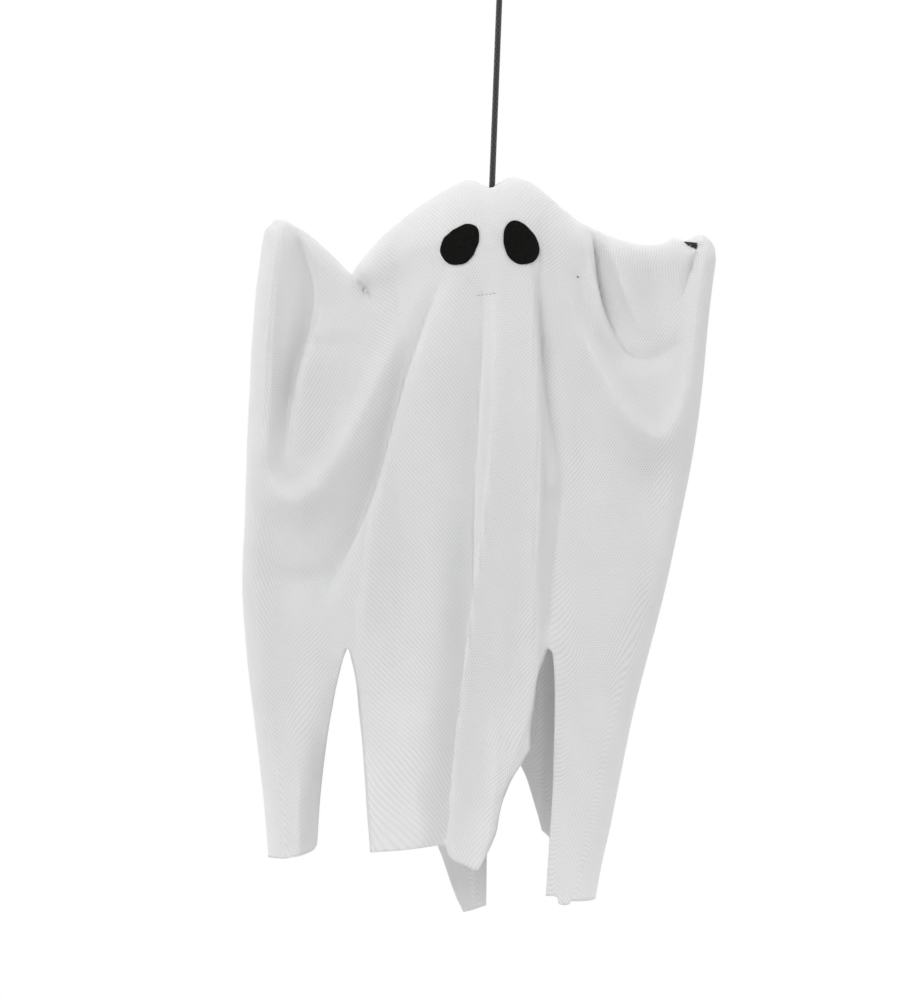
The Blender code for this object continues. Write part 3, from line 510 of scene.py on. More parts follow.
def selectFaces(obj, keep):
    # in edit mode, only the faces whose centre and normal pass
    enterEdit(obj)
    bpy.ops.mesh.select_mode(type="FACE")
    bpy.ops.mesh.select_all(action="DESELECT")
    shape = bmesh.from_edit_mesh(obj.data)
    for face in shape.faces:
        face.select_set(keep(face.calc_center_median(), face.normal))
    bmesh.update_edit_mesh(obj.data)


def leaveEdit():
    bpy.ops.object.mode_set(mode="OBJECT")


# arm wire: one length, bent to each arm's elbow, with a closed eye at either end

armWire = {
    "diameter": 0.0025,
    "eyeRadius": 0.0042,
    "eyeStep": math.radians(14),
    "eyePoints": 20,
    "leftEnd": (-0.1213, -0.006, -0.1808),
    "leftElbow": (-0.1020, -0.0018, -0.2370),
    "rightElbow": (0.0850, 0.0072, -0.2375),
    "rightEnd": (0.1080, 0.012, -0.1884),
    "drop": 0.023,  # below the ball's middle
    "setback": 0.006,
    "bow": (0.0010, 0.0040),
    "knee": (0.0220, 0.0010),
    "spanPoints": 8,
    "sides": 16,
}


def wireArm(look, end, elbow, side):
    bowX, bowZ = look["bow"]
    bow = (
        (end[0] + elbow[0]) / 2 + side * bowX,
        0.8 * end[1] + 0.2 * elbow[1],
        (end[2] + elbow[2]) / 2 - bowZ,
    )
    knee = (
        elbow[0] + side * look["knee"][0], (elbow[1] + look["setback"]) / 2, elbow[2] + look["knee"][1],
    )
    return [(end[0] + side * look["eyeRadius"], end[1], end[2]), bow, elbow, knee]


def wireEye(look, end, side):
    size = look["eyeRadius"]
    line = []
    for i in range(1, look["eyePoints"] + 1):
        turn = look["eyeStep"] * i
        line.append((end[0] + side * size * math.cos(turn), end[1], end[2] + size * math.sin(turn)))
    return line


def makeArmWire(look):
    level = headPlace.z - look["drop"]
    head = cordLook["headRadius"]
    half = math.sqrt(head**2 - look["drop"] ** 2 - look["setback"] ** 2) + 2 * look["diameter"]
    leaving = [(headPlace.x + side * half, look["setback"], level) for side in (-1, 1)]
    left = wireArm(look, look["leftEnd"], look["leftElbow"], 1)
    right = wireArm(look, look["rightEnd"], look["rightElbow"], -1)
    span = look["spanPoints"]
    line = smoothLine(left + leaving + right[::-1], span).tolist()
    # straight through the ball
    middle = span * len(left)
    line = line[: middle + 1] + line[middle + span :]
    line = wireEye(look, look["leftEnd"], 1)[::-1] + line + wireEye(look, look["rightEnd"], -1)
    return tubeMesh("armWire", line, look["diameter"] / 2, look["sides"], wireMaterial)


# ball: moulded foam, bored for the cord and the wire, pressed in at the crown where the cord pulls

foamBall = {
    "segments": 72,
    "rings": 40,
    "recessWidth": 0.042,
    "recessDepth": 0.0085,
    "boreRadius": 0.00195,
    "wireBore": 0.00155,
    "boreLength": 0.1,
    "seamBand": 0.06,
    "seamWidth": 0.0011,
    "seamHeight": 0.00025,
}


def makeBall(look):
    lean = cordLook["lean"]
    radius = cordLook["headRadius"]
    deselectAll()
    bpy.ops.mesh.primitive_uv_sphere_add(segments=look["segments"], ring_count=look["rings"], radius=radius)
    ball = takeObject("foamBall", foamMaterial)
    # the seam that the two halves of the mould leave
    selectFaces(ball, lambda centre, normal: abs(normal.z) < look["seamBand"])
    bpy.ops.mesh.inset(thickness=look["seamWidth"], depth=look["seamHeight"], use_even_offset=True)
    leaveEdit()
    ball.rotation_euler = (0, lean, 0)
    ball.location = headPlace
    settle(ball)
    top = cordLook["headDrop"] / math.cos(lean) - radius
    deselectAll()
    bpy.ops.mesh.primitive_cone_add(
        vertices=72, radius1=look["boreRadius"], radius2=look["recessWidth"] / 2, depth=look["recessDepth"],
        location=alongCord(top + look["recessDepth"] / 2 - cordLook["clearance"]), rotation=(0, lean, 0),
    )
    cutWith(ball, bpy.context.object)
    wirePlace = (headPlace.x, armWire["setback"], headPlace.z - armWire["drop"])
    boreThrough(ball, look["boreRadius"], look["boreLength"], 32, headPlace, (0, lean, 0))
    boreThrough(ball, look["wireBore"], look["boreLength"], 24, wirePlace, (0, math.pi / 2, 0))
    smoothShade(ball, 25)
    return ball


# washer under the ball, and the crimped sleeve that closes the loop

stopWasher = {
    "radius": 0.007,
    "rimWidth": 0.0011,
    "rimDrop": 0.00025,
    "boreLength": 0.01,
    "edge": 0.0002,
    "sides": 64,
}

crimpSleeve = {
    "wall": 0.0014,
    "dents": (-0.0026, 0.0026),
    "dentWidth": 0.0016,
    "dentShare": 0.80,
    "dentNarrow": 0.95,
    "edge": 0.0003,
}


def makeWasher(look):
    lean = cordLook["lean"]
    bore = cordLook["diameter"] / 2 + cordLook["clearance"]
    line = cordLook["headDrop"] / math.cos(lean) + math.sqrt(cordLook["headRadius"] ** 2 - bore**2)
    thick = cordLook["washerThickness"]
    centre = alongCord(line + cordLook["clearance"] + thick / 2)
    deselectAll()
    bpy.ops.mesh.primitive_cylinder_add(vertices=look["sides"], radius=look["radius"], depth=thick)
    washer = takeObject("stopWasher", washerMaterial)
    # a raised rim on the side that faces down
    selectFaces(washer, lambda centre, normal: normal.z < -0.9)
    bpy.ops.mesh.inset(thickness=look["rimWidth"], depth=-look["rimDrop"])
    leaveEdit()
    washer.rotation_euler = (0, lean, 0)
    washer.location = centre
    settle(washer)
    boreThrough(washer, bore, look["boreLength"], 32, centre, (0, lean, 0))
    applyModifier(washer, "BEVEL", width=look["edge"], segments=2, limit_method="ANGLE")
    smoothShade(washer, 35)
    return washer


def ovalSolid(radius, length, centre):
    # a bar with two round sides, long enough for both strands of the cord
    lean = cordLook["lean"]
    apart = cordLook["diameter"] + cordLook["clearance"]
    deselectAll()
    bpy.ops.mesh.primitive_cylinder_add(vertices=48, radius=radius, depth=length)
    bar = bpy.context.object
    enterEdit(bar)
    for side in (-1, 1):
        bpy.ops.mesh.select_mode(type="VERT")
        bpy.ops.mesh.select_all(action="DESELECT")
        shape = bmesh.from_edit_mesh(bar.data)
        for vert in shape.verts:
            vert.select_set(vert.co.x * side > 1e-5)
        shape.select_flush(True)
        bmesh.update_edit_mesh(bar.data)
        bpy.ops.transform.translate(value=(side * apart / 2, 0, 0))
    leaveEdit()
    bar.rotation_euler = (0, lean, 0)
    bar.location = centre
    return bar


def makeSleeve(look):
    radius = cordLook["diameter"] / 2 + cordLook["clearance"]
    length = cordLook["crimpLength"]
    apart = cordLook["diameter"] + cordLook["clearance"]
    centre = alongCord(cordLook["loopDrop"] + length / 2, apart / 2)
    sleeve = ovalSolid(radius + look["wall"], length, centre)
    sleeve.name = sleeve.data.name = "crimpSleeve"
    sleeve.data.materials.append(crimpMaterial)
    enterEdit(sleeve)
    for dent in look["dents"]:
        for edge in (-1, -0.4, 0.4, 1):
            bpy.ops.mesh.select_all(action="SELECT")
            bpy.ops.mesh.bisect(plane_co=(0, 0, dent + edge * look["dentWidth"] / 2), plane_no=(0, 0, 1))
        bpy.ops.mesh.select_mode(type="VERT")
        bpy.ops.mesh.select_all(action="DESELECT")
        shape = bmesh.from_edit_mesh(sleeve.data)
        for vert in shape.verts:
            vert.select_set(abs(vert.co.z - dent) < 0.3 * look["dentWidth"])
        bmesh.update_edit_mesh(sleeve.data)
        press = (look["dentNarrow"], look["dentShare"], 1)
        bpy.ops.transform.resize(value=press, center_override=(0, 0, dent))
    leaveEdit()
    settle(sleeve)
    bore = ovalSolid(radius, 2 * length, centre)
    cutWith(sleeve, bore)
    applyModifier(sleeve, "BEVEL", width=look["edge"], segments=2, limit_method="ANGLE")
    smoothShade(sleeve, 35)
    return sleeve


armWirePiece = makeArmWire(armWire)
ballPiece = makeBall(foamBall)
washerPiece = makeWasher(stopWasher)
sleevePiece = makeSleeve(crimpSleeve)
print("wire, ball, washer and crimp made")


# sheet: outlines and creases are read off the photograph in its pixels, heights and widths in mm

ghostSheet = {
    "thickness": 0.0007,
    "headRadius": 0.0372,  # of the cloth's middle where it lies on the ball
    "shoulderSlope": 0.72,
    "armRound": 0.0115,
    "armDepth": 0.016,
    "sideRound": 0.010,
    "hemSpread": 0.060,
    "slitTop": 646.5,
    "splits": (352.1, 560.1),
    "settleDrop": 0.055,
    "reachDrop": 0.330,
    "tuckDepth": 0.0062,
    "tuckWidths": (0.0065, 0.0050),  # left and right of the cord
    "tuckReach": 0.016,  # to front and back
    "holeRadius": 0.0020,
    "holeCleared": 1.25,  # of that radius: what is taken out, and what is drawn close round the cord
    "holeDrawn": 4.0,
    "evenAcross": 60,  # passes that even out the knit's map
    "evenDown": 90,
    "roundRows": 16,
    "bodyRows": 92,
    "stripRows": 58,
    "columns": (32, 50, 48),
    "sideColumns": 6,
    "wireBerth": 0.0024,
    "wireMargin": 0.008,
    "wireFall": 0.012,
    "wireSoft": 0.0016,
    "wireReach": 0.0022,
    "waver": 0.0011,
    "waverLengths": (0.021, 0.034, 0.052),
    "waverFrom": 0.03,
    "waverOver": 0.12,
    "hemEase": 0.02,
    "tips": ((271.5, 226.0), (713.0, 243.5)),
    "ridge": (
        (271.5, 226.0), (274, 221.5), (279, 220), (285, 221.5), (292, 225), (304, 232), (316, 241),
        (328, 252), (340, 264), (346, 270.5), (352.1, 275.2),
    ),
    "crown": (
        (352.1, 275.2), (355, 270), (358, 266), (370, 251), (382, 238), (394, 227), (406, 217),
        (418, 208), (430, 200), (442, 192.5), (454, 186), (466, 181), (472, 180), (479, 180.5),
        (487, 180), (496, 178.5), (504, 178.2), (514, 178), (522, 179.5), (532, 184), (544, 193),
        (556, 204), (568, 214), (580, 223), (592, 229), (604, 234), (616, 239), (628, 242),
        (640, 244.6), (652, 245), (664, 243), (671, 239.2), (676.5, 237.5), (680, 238.8), (684, 240.8),
        (688, 239.8), (692, 237.3), (697, 235.3), (702, 234.6), (707, 237), (711, 240.5), (713, 243.5),
    ),
    "leftEdge": (
        (226, 271.5), (230, 266.5), (245, 263), (260, 261), (290, 257), (320, 254.7), (350, 252.3),
        (380, 251), (410, 249.3), (440, 248), (470, 247), (500, 246), (530, 245), (560, 243.4),
        (590, 243), (620, 244.7), (650, 247), (680, 250), (710, 253.7), (740, 257.2), (770, 260.8),
        (800, 264.2), (845, 268), (857, 269),
    ),
    "rightEdge": (
        (243.5, 713), (247, 714.6), (252, 715.6), (260, 716), (275, 714), (290, 712), (320, 708.6),
        (350, 705.8), (380, 703), (410, 699.5), (440, 695.2), (470, 690), (500, 684), (530, 677.7),
        (560, 671.3), (590, 664.6), (620, 657), (650, 649), (680, 641), (710, 633.5), (740, 627),
        (770, 621), (800, 615), (830, 609), (860, 602), (900, 594.5),
    ),
}

frontLayer = {
    "facing": -1,
    "slits": (347.5, 548),
    "hemDepth": (0.024, 0.042),
    "cuts": (
        (
            (0, 347.5), (2, 346.3), (8, 344.9), (34, 338), (64, 332), (94, 327), (124, 323), (154, 320),
            (184, 318), (210, 316),
        ),
        (
            (0, 347.5), (1.5, 348.9), (6, 350.6), (34, 357), (64, 360), (94, 363), (124, 365),
            (154, 367), (204, 371),
        ),
        (
            (0, 548), (8, 544.6), (28, 536), (52, 533), (83, 529.5), (98, 529.6), (102, 529),
            (105, 526), (108, 524.5), (116, 520), (133, 509), (150, 502.3), (165, 499), (180, 496.4),
            (192, 492), (205, 486.6), (220, 482.5),
        ),
        ((0, 548), (2, 551.2), (8, 553), (52, 554), (104, 553), (143, 552), (193, 548.5), (246, 545)),
    ),
    # share of the strip's width, and the hem's height on the photograph
    "hems": (
        ((0, 856.5), (0.2, 855.2), (0.45, 854), (0.8, 850.3), (0.93, 847.6), (1, 843)),
        (
            (0, 850), (0.3, 847.2), (0.55, 843), (0.62, 845), (0.68, 851), (0.74, 856.6), (0.84, 861.5),
            (0.93, 866), (0.97, 865), (0.985, 856), (1, 846),
        ),
        ((0, 892), (0.36, 894), (0.40, 900), (0.72, 901), (0.78, 898), (1, 898)),
    ),
    "folds": (
        # left arm: roll down the outer edge, hollow beside it with a crisp inner edge, swag below
        (((277, 236, 2), (274, 270, 6), (269, 330, 8), (267, 400, 8), (267, 450, 6)), 10, 6, 0.3, 0.1),
        (
            (
                (294, 236, -8), (298, 255, -12), (306, 288, -14), (303, 325, -14), (294, 365, -12),
                (287, 405, -10), (284, 448, -3),
            ),
            4.5, 6.0, 0.3, -0.25,
        ),
        (
            ((318, 325, 1), (312, 345, 6), (303, 378, 8), (297, 415, 6), (293, 450, 2)),
            2.5, 11, 0.6, -0.35,
        ),
        (
            (
                (258, 440, 3), (268, 474, 6.5), (281, 494, 10), (297, 501, 11), (313, 494, 10.5),
                (329, 474, 9), (346, 447, 8), (365, 410, 7), (385, 368, 7), (407, 325, 6),
                (425, 292, 4), (436, 268, 1),
            ),
            11, 7.5, 0.35, 0.1,
        ),
        (((311, 343, -2.8), (330, 345, -3.2), (350, 338, -1.4)), 7, 4, 0.2, 0.0),
        (((318, 262, -1), (326, 300, -3.4), (332, 330, -2)), 9, 9, 0.0, 0.0),
        (((354, 279, -6), (360, 289, -10), (366, 297, -10), (375, 305, -3)), 4, 6, 0.5, -0.2),
        (((362, 282, 2), (395, 262, 3), (430, 240, 1)), 6, 8, 0.0, 0.0),
        # left of the middle: valley that widens towards the slit, ridge, wide straight-sided valley
        (
            (
                (440, 275, -3), (430, 300, -5), (417, 334, -7), (403, 373, -8), (389, 420, -9.5),
                (377, 462, -10.5), (362, 506, -10.5), (345, 545, -9), (330, 580, -5), (320, 605, -1),
            ),
            9, 4.5, 0.4, -0.35,
        ),
        (
            (
                (433, 322, 2), (418, 365, 5), (404, 410, 7), (391, 465, 8), (378, 525, 8),
                (370, 590, 6), (366, 640, 3), (372, 720, 1),
            ),
            4, 13, 0.4, -0.35,
        ),
        (
            ((452, 350, 0), (440, 430, -2.0), (424, 520, -2.6), (415, 620, -2), (408, 700, -1)),
            10, 10, 0.0, 0.0,
        ),
        (
            (
                (478, 296, -4), (476, 330, -7), (472, 370, -10), (467, 430, -13), (463, 500, -14),
                (461, 560, -15), (458, 640, -16), (452, 720, -15), (445, 790, -14), (441, 845, -13),
            ),
            12, 5.5, 0.35, -0.45,
        ),
        # middle: crisp ridge, the flatter one beside it, the valley from under the cheek
        (
            (
                (494, 300, 1.5), (498, 345, 5), (499, 400, 7), (496, 460, 8), (490, 520, 9),
                (482, 585, 10), (473, 650, 10.5), (462, 730, 11), (455, 790, 10), (450, 850, 9),
            ),
            3.5, 10, 0.7, -0.45,
        ),
        (
            ((513, 330, 1), (515, 420, 2.6), (510, 520, 3.4), (503, 620, 3), (495, 700, 1.5)),
            7, 6, 0.0, 0.0,
        ),
        (
            (
                (527, 270, 1), (531, 330, 5), (534, 420, 8), (534, 500, 8), (532, 560, 7),
                (534, 620, 5), (528, 700, 3), (500, 790, 2),
            ),
            7.5, 3.0, 0.6, 0.35,
        ),
        (((497, 720, 1.5), (494, 770, 3), (490, 840, 2.4)), 4, 4, 0.5, 0.0),
        (
            (
                (541, 200, -1), (543, 240, -3), (544, 295, -7.5), (547, 335, -11), (550, 375, -10.5),
                (555, 420, -9), (562, 462, -6.5), (563, 505, -5), (557, 560, -4), (552, 610, -3),
                (550, 650, -1.5),
            ),
            5, 12, 0.3, 0.35,
        ),
        (((553, 500, -3), (551, 560, -4), (550, 620, -3)), 5, 6, 0.0, 0.0),
        # right arm: the swag from the cheek to the arm's tip, the deep band behind the shoulder
        (
            (
                (551, 232, 1.5), (566, 290, 5), (586, 345, 8.5), (610, 392, 10.5), (634, 426, 11.5),
                (660, 440, 11.5), (678, 417, 10), (690, 370, 8), (699, 315, 6), (706, 265, 3),
            ),
            11, 6, 0.5, 0.1,
        ),
        (
            (
                (597, 234, -9), (602, 252, -13), (605, 278, -13), (610, 302, -13), (619, 328, -11),
                (630, 352, -5),
            ),
            3.5, 9.5, 0.4, 0.35,
        ),
        (((577, 232, 2), (584, 256, 4), (592, 290, 5), (602, 330, 3)), 8, 2.5, 0.4, 0.35),
        (((612, 238, 2), (618, 258, 5), (628, 292, 6), (642, 326, 3)), 2.5, 9, 0.5, -0.1),
        (((622, 352, -4), (650, 358, -4.4), (676, 344, -2.4)), 6, 3.5, 0.2, 0.0),
        (((642, 266, -3), (654, 300, -6), (656, 335, -2)), 12, 12, 0.0, 0.0),
        (((699, 246, -4), (696, 262, -6), (689, 282, -5), (681, 300, -1)), 3.5, 1.6, 0.6, 0.2),
        (((683, 243, -3), (690, 245.5, -6), (698, 247.5, -4)), 1.7, 1.5, 0.4, 0.0),
        (((648, 462, -2.5), (655, 480, -4.5), (660, 505, -2)), 10, 10, 0.0, 0.0),
        (((640, 500, -0.5), (625, 560, 0.8), (612, 640, 1.4), (598, 730, 1.0)), 12, 12, 0.0, 0.0),
        # strips: the left one's inner edge rolls back, faint creases where the sheet was packed
        (((341, 680, -2), (332, 730, -8), (326, 780, -13), (321, 850, -15)), 9, 12, 0.2, 0.0),
        (((300, 760, 0), (300, 800, 1.4), (300, 850, 1.8)), 3, 5, 0.4, 0.0),
        (((255, 560, -1.5), (290, 580, -3.2), (322, 572, -1.5)), 10, 6, 0.0, 0.0),
        (((320, 520, 0.2), (334, 562, 0.9), (352, 632, 0.3)), 1.6, 1.6, 0.8, 0.0),
        (((390, 690, 0.2), (404, 740, 1.6), (416, 800, 1.2), (420, 845, 0.8)), 5, 5, 0.3, 0.0),
        (((640, 654, 0.5), (628, 662, 0.9), (618, 666, 0.2)), 1.8, 1.8, 0.6, 0.0),
        (((652, 492, 0.2), (668, 507, 0.8), (682, 512, 0.5)), 2.0, 2.2, 0.5, 0.0),
        (((612, 742, 0.3), (598, 757, 0.9), (584, 760, 0.2)), 2.0, 2.0, 0.5, 0.0),
    ),
}

backLayer = {
    "facing": 1,
    "slits": (347.5, 504.8),
    "hemDepth": (0.026, 0.043),
    "cuts": (
        ((0, 347.5), (34, 334.8), (94, 323), (154, 315.7), (202, 313)),
        (
            (0, 347.5), (54, 374), (114, 398.5), (186, 434), (200, 436.5), (214, 442), (229, 447),
            (244, 452), (258, 457.6), (271, 464.1),
        ),
        (
            (0, 504.8), (54, 501.2), (114, 497.5), (149, 500.4), (172, 499), (179, 493.5), (181, 487.5),
            (210, 487), (240, 486.8), (271, 486.3),
        ),
        (
            (0, 504.8), (54, 510.3), (100, 517.5), (117, 520.2), (134, 527.6), (162, 536.1), (180, 541),
            (195, 545.6),
        ),
    ),
    "hems": (
        ((0, 856.5), (0.5, 846.5), (1, 844.5)),
        ((0, 916.5), (0.4, 914.5), (0.8, 911), (1, 909)),
        ((0, 833), (0.12, 840), (0.5, 866), (1, 898)),
    ),
    "folds": (
        (
            ((288, 268, 1), (282, 432, 6), (296, 508, 8), (314, 514, 8), (376, 432, 6), (421, 305, 2)),
            11, 12, 0.2, 0.0,
        ),
        (((321, 287, -3), (325, 396, -7), (314, 469, -2)), 10, 10, 0.1, 0.0),
        (((437, 296, -3), (390, 450, -9), (350, 632, -5)), 10, 10, 0.2, 0.0),
        (((452, 296, 2), (419, 469, 6), (401, 632, 6), (437, 814, 3)), 9, 10, 0.3, 0.0),
        (((481, 296, -2), (463, 487, -9), (459, 778, -8)), 10, 9, 0.3, 0.0),
        (((503, 296, 2), (499, 487, 6), (492, 669, 5), (478, 850, 4)), 8, 9, 0.3, 0.0),
        (
            ((532, 296, -3), (547, 469, -9), (543, 632, -12), (541, 740, -16), (538, 840, -14)),
            9, 10, 0.2, 0.0,
        ),
        (((557, 250, 3), (590, 396, 8), (645, 472, 8), (685, 396, 4), (699, 278, 1)), 12, 10, 0.2, 0.0),
        (((608, 260, -4), (630, 341, -8), (648, 381, -2)), 10, 12, 0.1, 0.0),
        (((470, 700, 1), (474, 800, 3), (474, 910, 3)), 5, 5, 0.4, 0.0),
        (((487, 850, -4), (486, 910, -6)), 6, 6, 0.2, 0.0),
        (((300, 560, 1), (290, 640, 2.5), (290, 760, 2)), 9, 9, 0.1, 0.0),
        (((600, 540, 1), (590, 660, 2.4), (575, 840, 2)), 9, 9, 0.1, 0.0),
    ),
}


def pixelX(value):
    return (np.asarray(value, float) - view["originPixel"][0]) * view["metresPerPixel"]


def pixelZ(value):
    return (view["originPixel"][1] - np.asarray(value, float)) * view["metresPerPixel"]


def placedFolds(folds):
    # creases in metres, each on a smooth line
    placed = []
    for line, left, right, crisp, lean in folds:
        points = np.array(line, float)
        points = np.column_stack([pixelX(points[:, 0]), pixelZ(points[:, 1]), points[:, 2] / 1000])
        placed.append((smoothLine(points, 6), left / 1000, right / 1000, crisp, lean))
    return placed


def foldLift(folds, x, z):
    # how far the creases lift the cloth, and how far they lean across. A crisp one has a sharp back
    total, leanX, leanZ = np.zeros_like(x), np.zeros_like(x), np.zeros_like(x)
    for line, left, right, crisp, lean in folds:
        run = line[1:, :2] - line[:-1, :2]
        awayX = x[..., None] - line[:-1, 0]
        awayZ = z[..., None] - line[:-1, 1]
        share = np.clip((awayX * run[:, 0] + awayZ * run[:, 1]) / (run**2).sum(1), 0, 1)
        distance = np.hypot(awayX - share * run[:, 0], awayZ - share * run[:, 1])
        i = distance.argmin(-1)[..., None]
        near, part, awayX, awayZ = (
            np.take_along_axis(values, i, -1)[..., 0] for values in (distance, share, awayX, awayZ)
        )
        i = i[..., 0]
        cross = run[i, 0] * awayZ - run[i, 1] * awayX
        side = cross / (np.hypot(run[i, 0], run[i, 1]) * np.maximum(near, 1e-9))
        width = (left + right) / 2 + (right - left) / 2 * side
        height = line[i, 2] + part * (line[i + 1, 2] - line[i, 2])
        away = near / width
        soft = np.exp(-(away**2))
        sharp = np.exp(-1.5 * (np.sqrt(away**2 + 0.02) - math.sqrt(0.02)))
        lift = height * ((1 - crisp) * soft + crisp * sharp)
        length = np.hypot(run[i, 0], run[i, 1])
        total += lift
        leanX -= lean * lift * run[i, 1] / length
        leanZ += lean * lift * run[i, 0] / length
    return total, leanX, leanZ


def ridgeHeight(x):
    sheet = ghostSheet
    left = throughPoints([(pixelX(a), pixelZ(b)) for a, b in sheet["ridge"]], x)
    right = throughPoints([(pixelX(a), pixelZ(b)) for a, b in sheet["crown"]], x)
    return np.where(x <= pixelX(sheet["splits"][0]), left, right)


def roundSize(x, least):
    # the ball's own round where the cloth lies on it, easing to the arm's
    sheet = ghostSheet
    off = sheet["shoulderSlope"] * (x - headPlace.x)
    onHead = np.sqrt(np.maximum(sheet["headRadius"] ** 2 - off**2, 0))
    return (onHead**4 + least**4) ** 0.25


def panelColumns(panel):
    # distance in from the outer edge, share of the width and turn round the side fold
    sheet = ghostSheet
    count = sheet["columns"][panel]
    if panel == 1:
        return np.zeros(count + 1), np.linspace(0, 1, count + 1), np.ones(count + 1)
    turns = np.linspace(0, math.pi / 2, sheet["sideColumns"], endpoint=False)
    inner = count - sheet["sideColumns"]
    size = sheet["sideRound"]
    inset = np.concatenate([size * (1 - np.cos(turns)), np.full(inner + 1, size)])
    share = np.concatenate([np.zeros(len(turns)), np.linspace(0, 1, inner + 1)])
    sideTurn = np.concatenate([np.sin(turns), np.ones(inner + 1)])
    if panel == 2:
        return inset[::-1], share[::-1], sideTurn[::-1]
    return inset, share, sideTurn


def acrossPanel(panel, inset, share, left, right):
    if panel == 0:
        return left + inset + share * (right - left - inset)
    if panel == 2:
        return right - inset + share * (left - right + inset)
    return left + share * (right - left)


def panelEdges(layer, panel, z):
    # x of a panel's left and right edge at these heights
    sheet = ghostSheet
    y = view["originPixel"][1] - z / view["metresPerPixel"]
    edges = [throughPoints(sheet["leftEdge"], y)]
    for i, split in enumerate(sheet["splits"]):
        top = view["originPixel"][1] - float(ridgeHeight(pixelX(split))) / view["metresPerPixel"]
        line = split + (layer["slits"][i] - split) * (y - top) / (sheet["slitTop"] - top)
        for cut in layer["cuts"][2 * i : 2 * i + 2]:
            edges.append(np.where(y <= sheet["slitTop"], line, throughPoints(cut, y - sheet["slitTop"])))
    edges.append(throughPoints(sheet["rightEdge"], y))
    return pixelX(edges[2 * panel]), pixelX(edges[2 * panel + 1])


def middleDepth(x, z):
    # the sheet's middle follows the arm wire, which reaches forward on one side and back on the other
    left, right = armWire["leftEnd"], armWire["rightEnd"]
    reach = np.where(x < headPlace.x, left[1], right[1])
    tip = np.where(x < headPlace.x, left[0], right[0])
    head = cordLook["headRadius"]
    along = ease((np.abs(x - headPlace.x) - head) / (np.abs(tip - headPlace.x) - head))
    return reach * along * (1 - ease((ridgeHeight(x) - z) / ghostSheet["reachDrop"]))


def gentleWaver(x, z, seed, wavelengths, size):
    # slow unevenness that keeps a hung cloth from looking drawn with a ruler
    dice = random.Random(seed)
    total = np.zeros_like(x)
    for wavelength in wavelengths:
        turn = dice.uniform(-0.9, 0.9)
        phase = dice.uniform(0, math.tau)
        along = x * math.cos(turn) + z * math.sin(turn) * 0.45
        total += np.sin(math.tau * along / wavelength + phase + 1.3 * np.sin(z * 38 + phase))
    return total * size / len(wavelengths)


def wireReach():
    # where the wire runs, seen from the front, with its nearest and farthest depth at each place
    places = [vertex.co for vertex in armWirePiece.data.vertices]
    tree = KDTree(len(places))
    for i, place in enumerate(places):
        tree.insert((place.x, 0, place.z), i)
    tree.balance()
    reach = []
    reachAcross = ghostSheet["wireReach"]
    for place in places:
        depths = [places[i].y for _, i, _ in tree.find_range((place.x, 0, place.z), reachAcross)]
        reach.append((min(depths), max(depths)))
    return tree, reach


def clearOfWire(x, y, z, facing):
    # the cloth passes before or behind the wire, never through it, and bears on it softly
    sheet = ghostSheet
    cleared = y.copy()
    for spot in np.ndindex(x.shape):
        _, i, distance = wireTree.find((x[spot], 0, z[spot]))
        if distance > sheet["wireMargin"]:
            continue
        near = ease(1 - distance / sheet["wireMargin"])
        surface = wireDepths[i][0 if facing < 0 else 1]
        limit = (surface * facing + sheet["wireBerth"] - (1 - near) * sheet["wireFall"]) * facing
        gap = (y[spot] - limit) * facing
        soft = sheet["wireSoft"]
        blend = max(soft - abs(gap), 0) ** 2 / (4 * soft)
        cleared[spot] = limit + facing * (max(gap, 0) + blend)
    return cleared


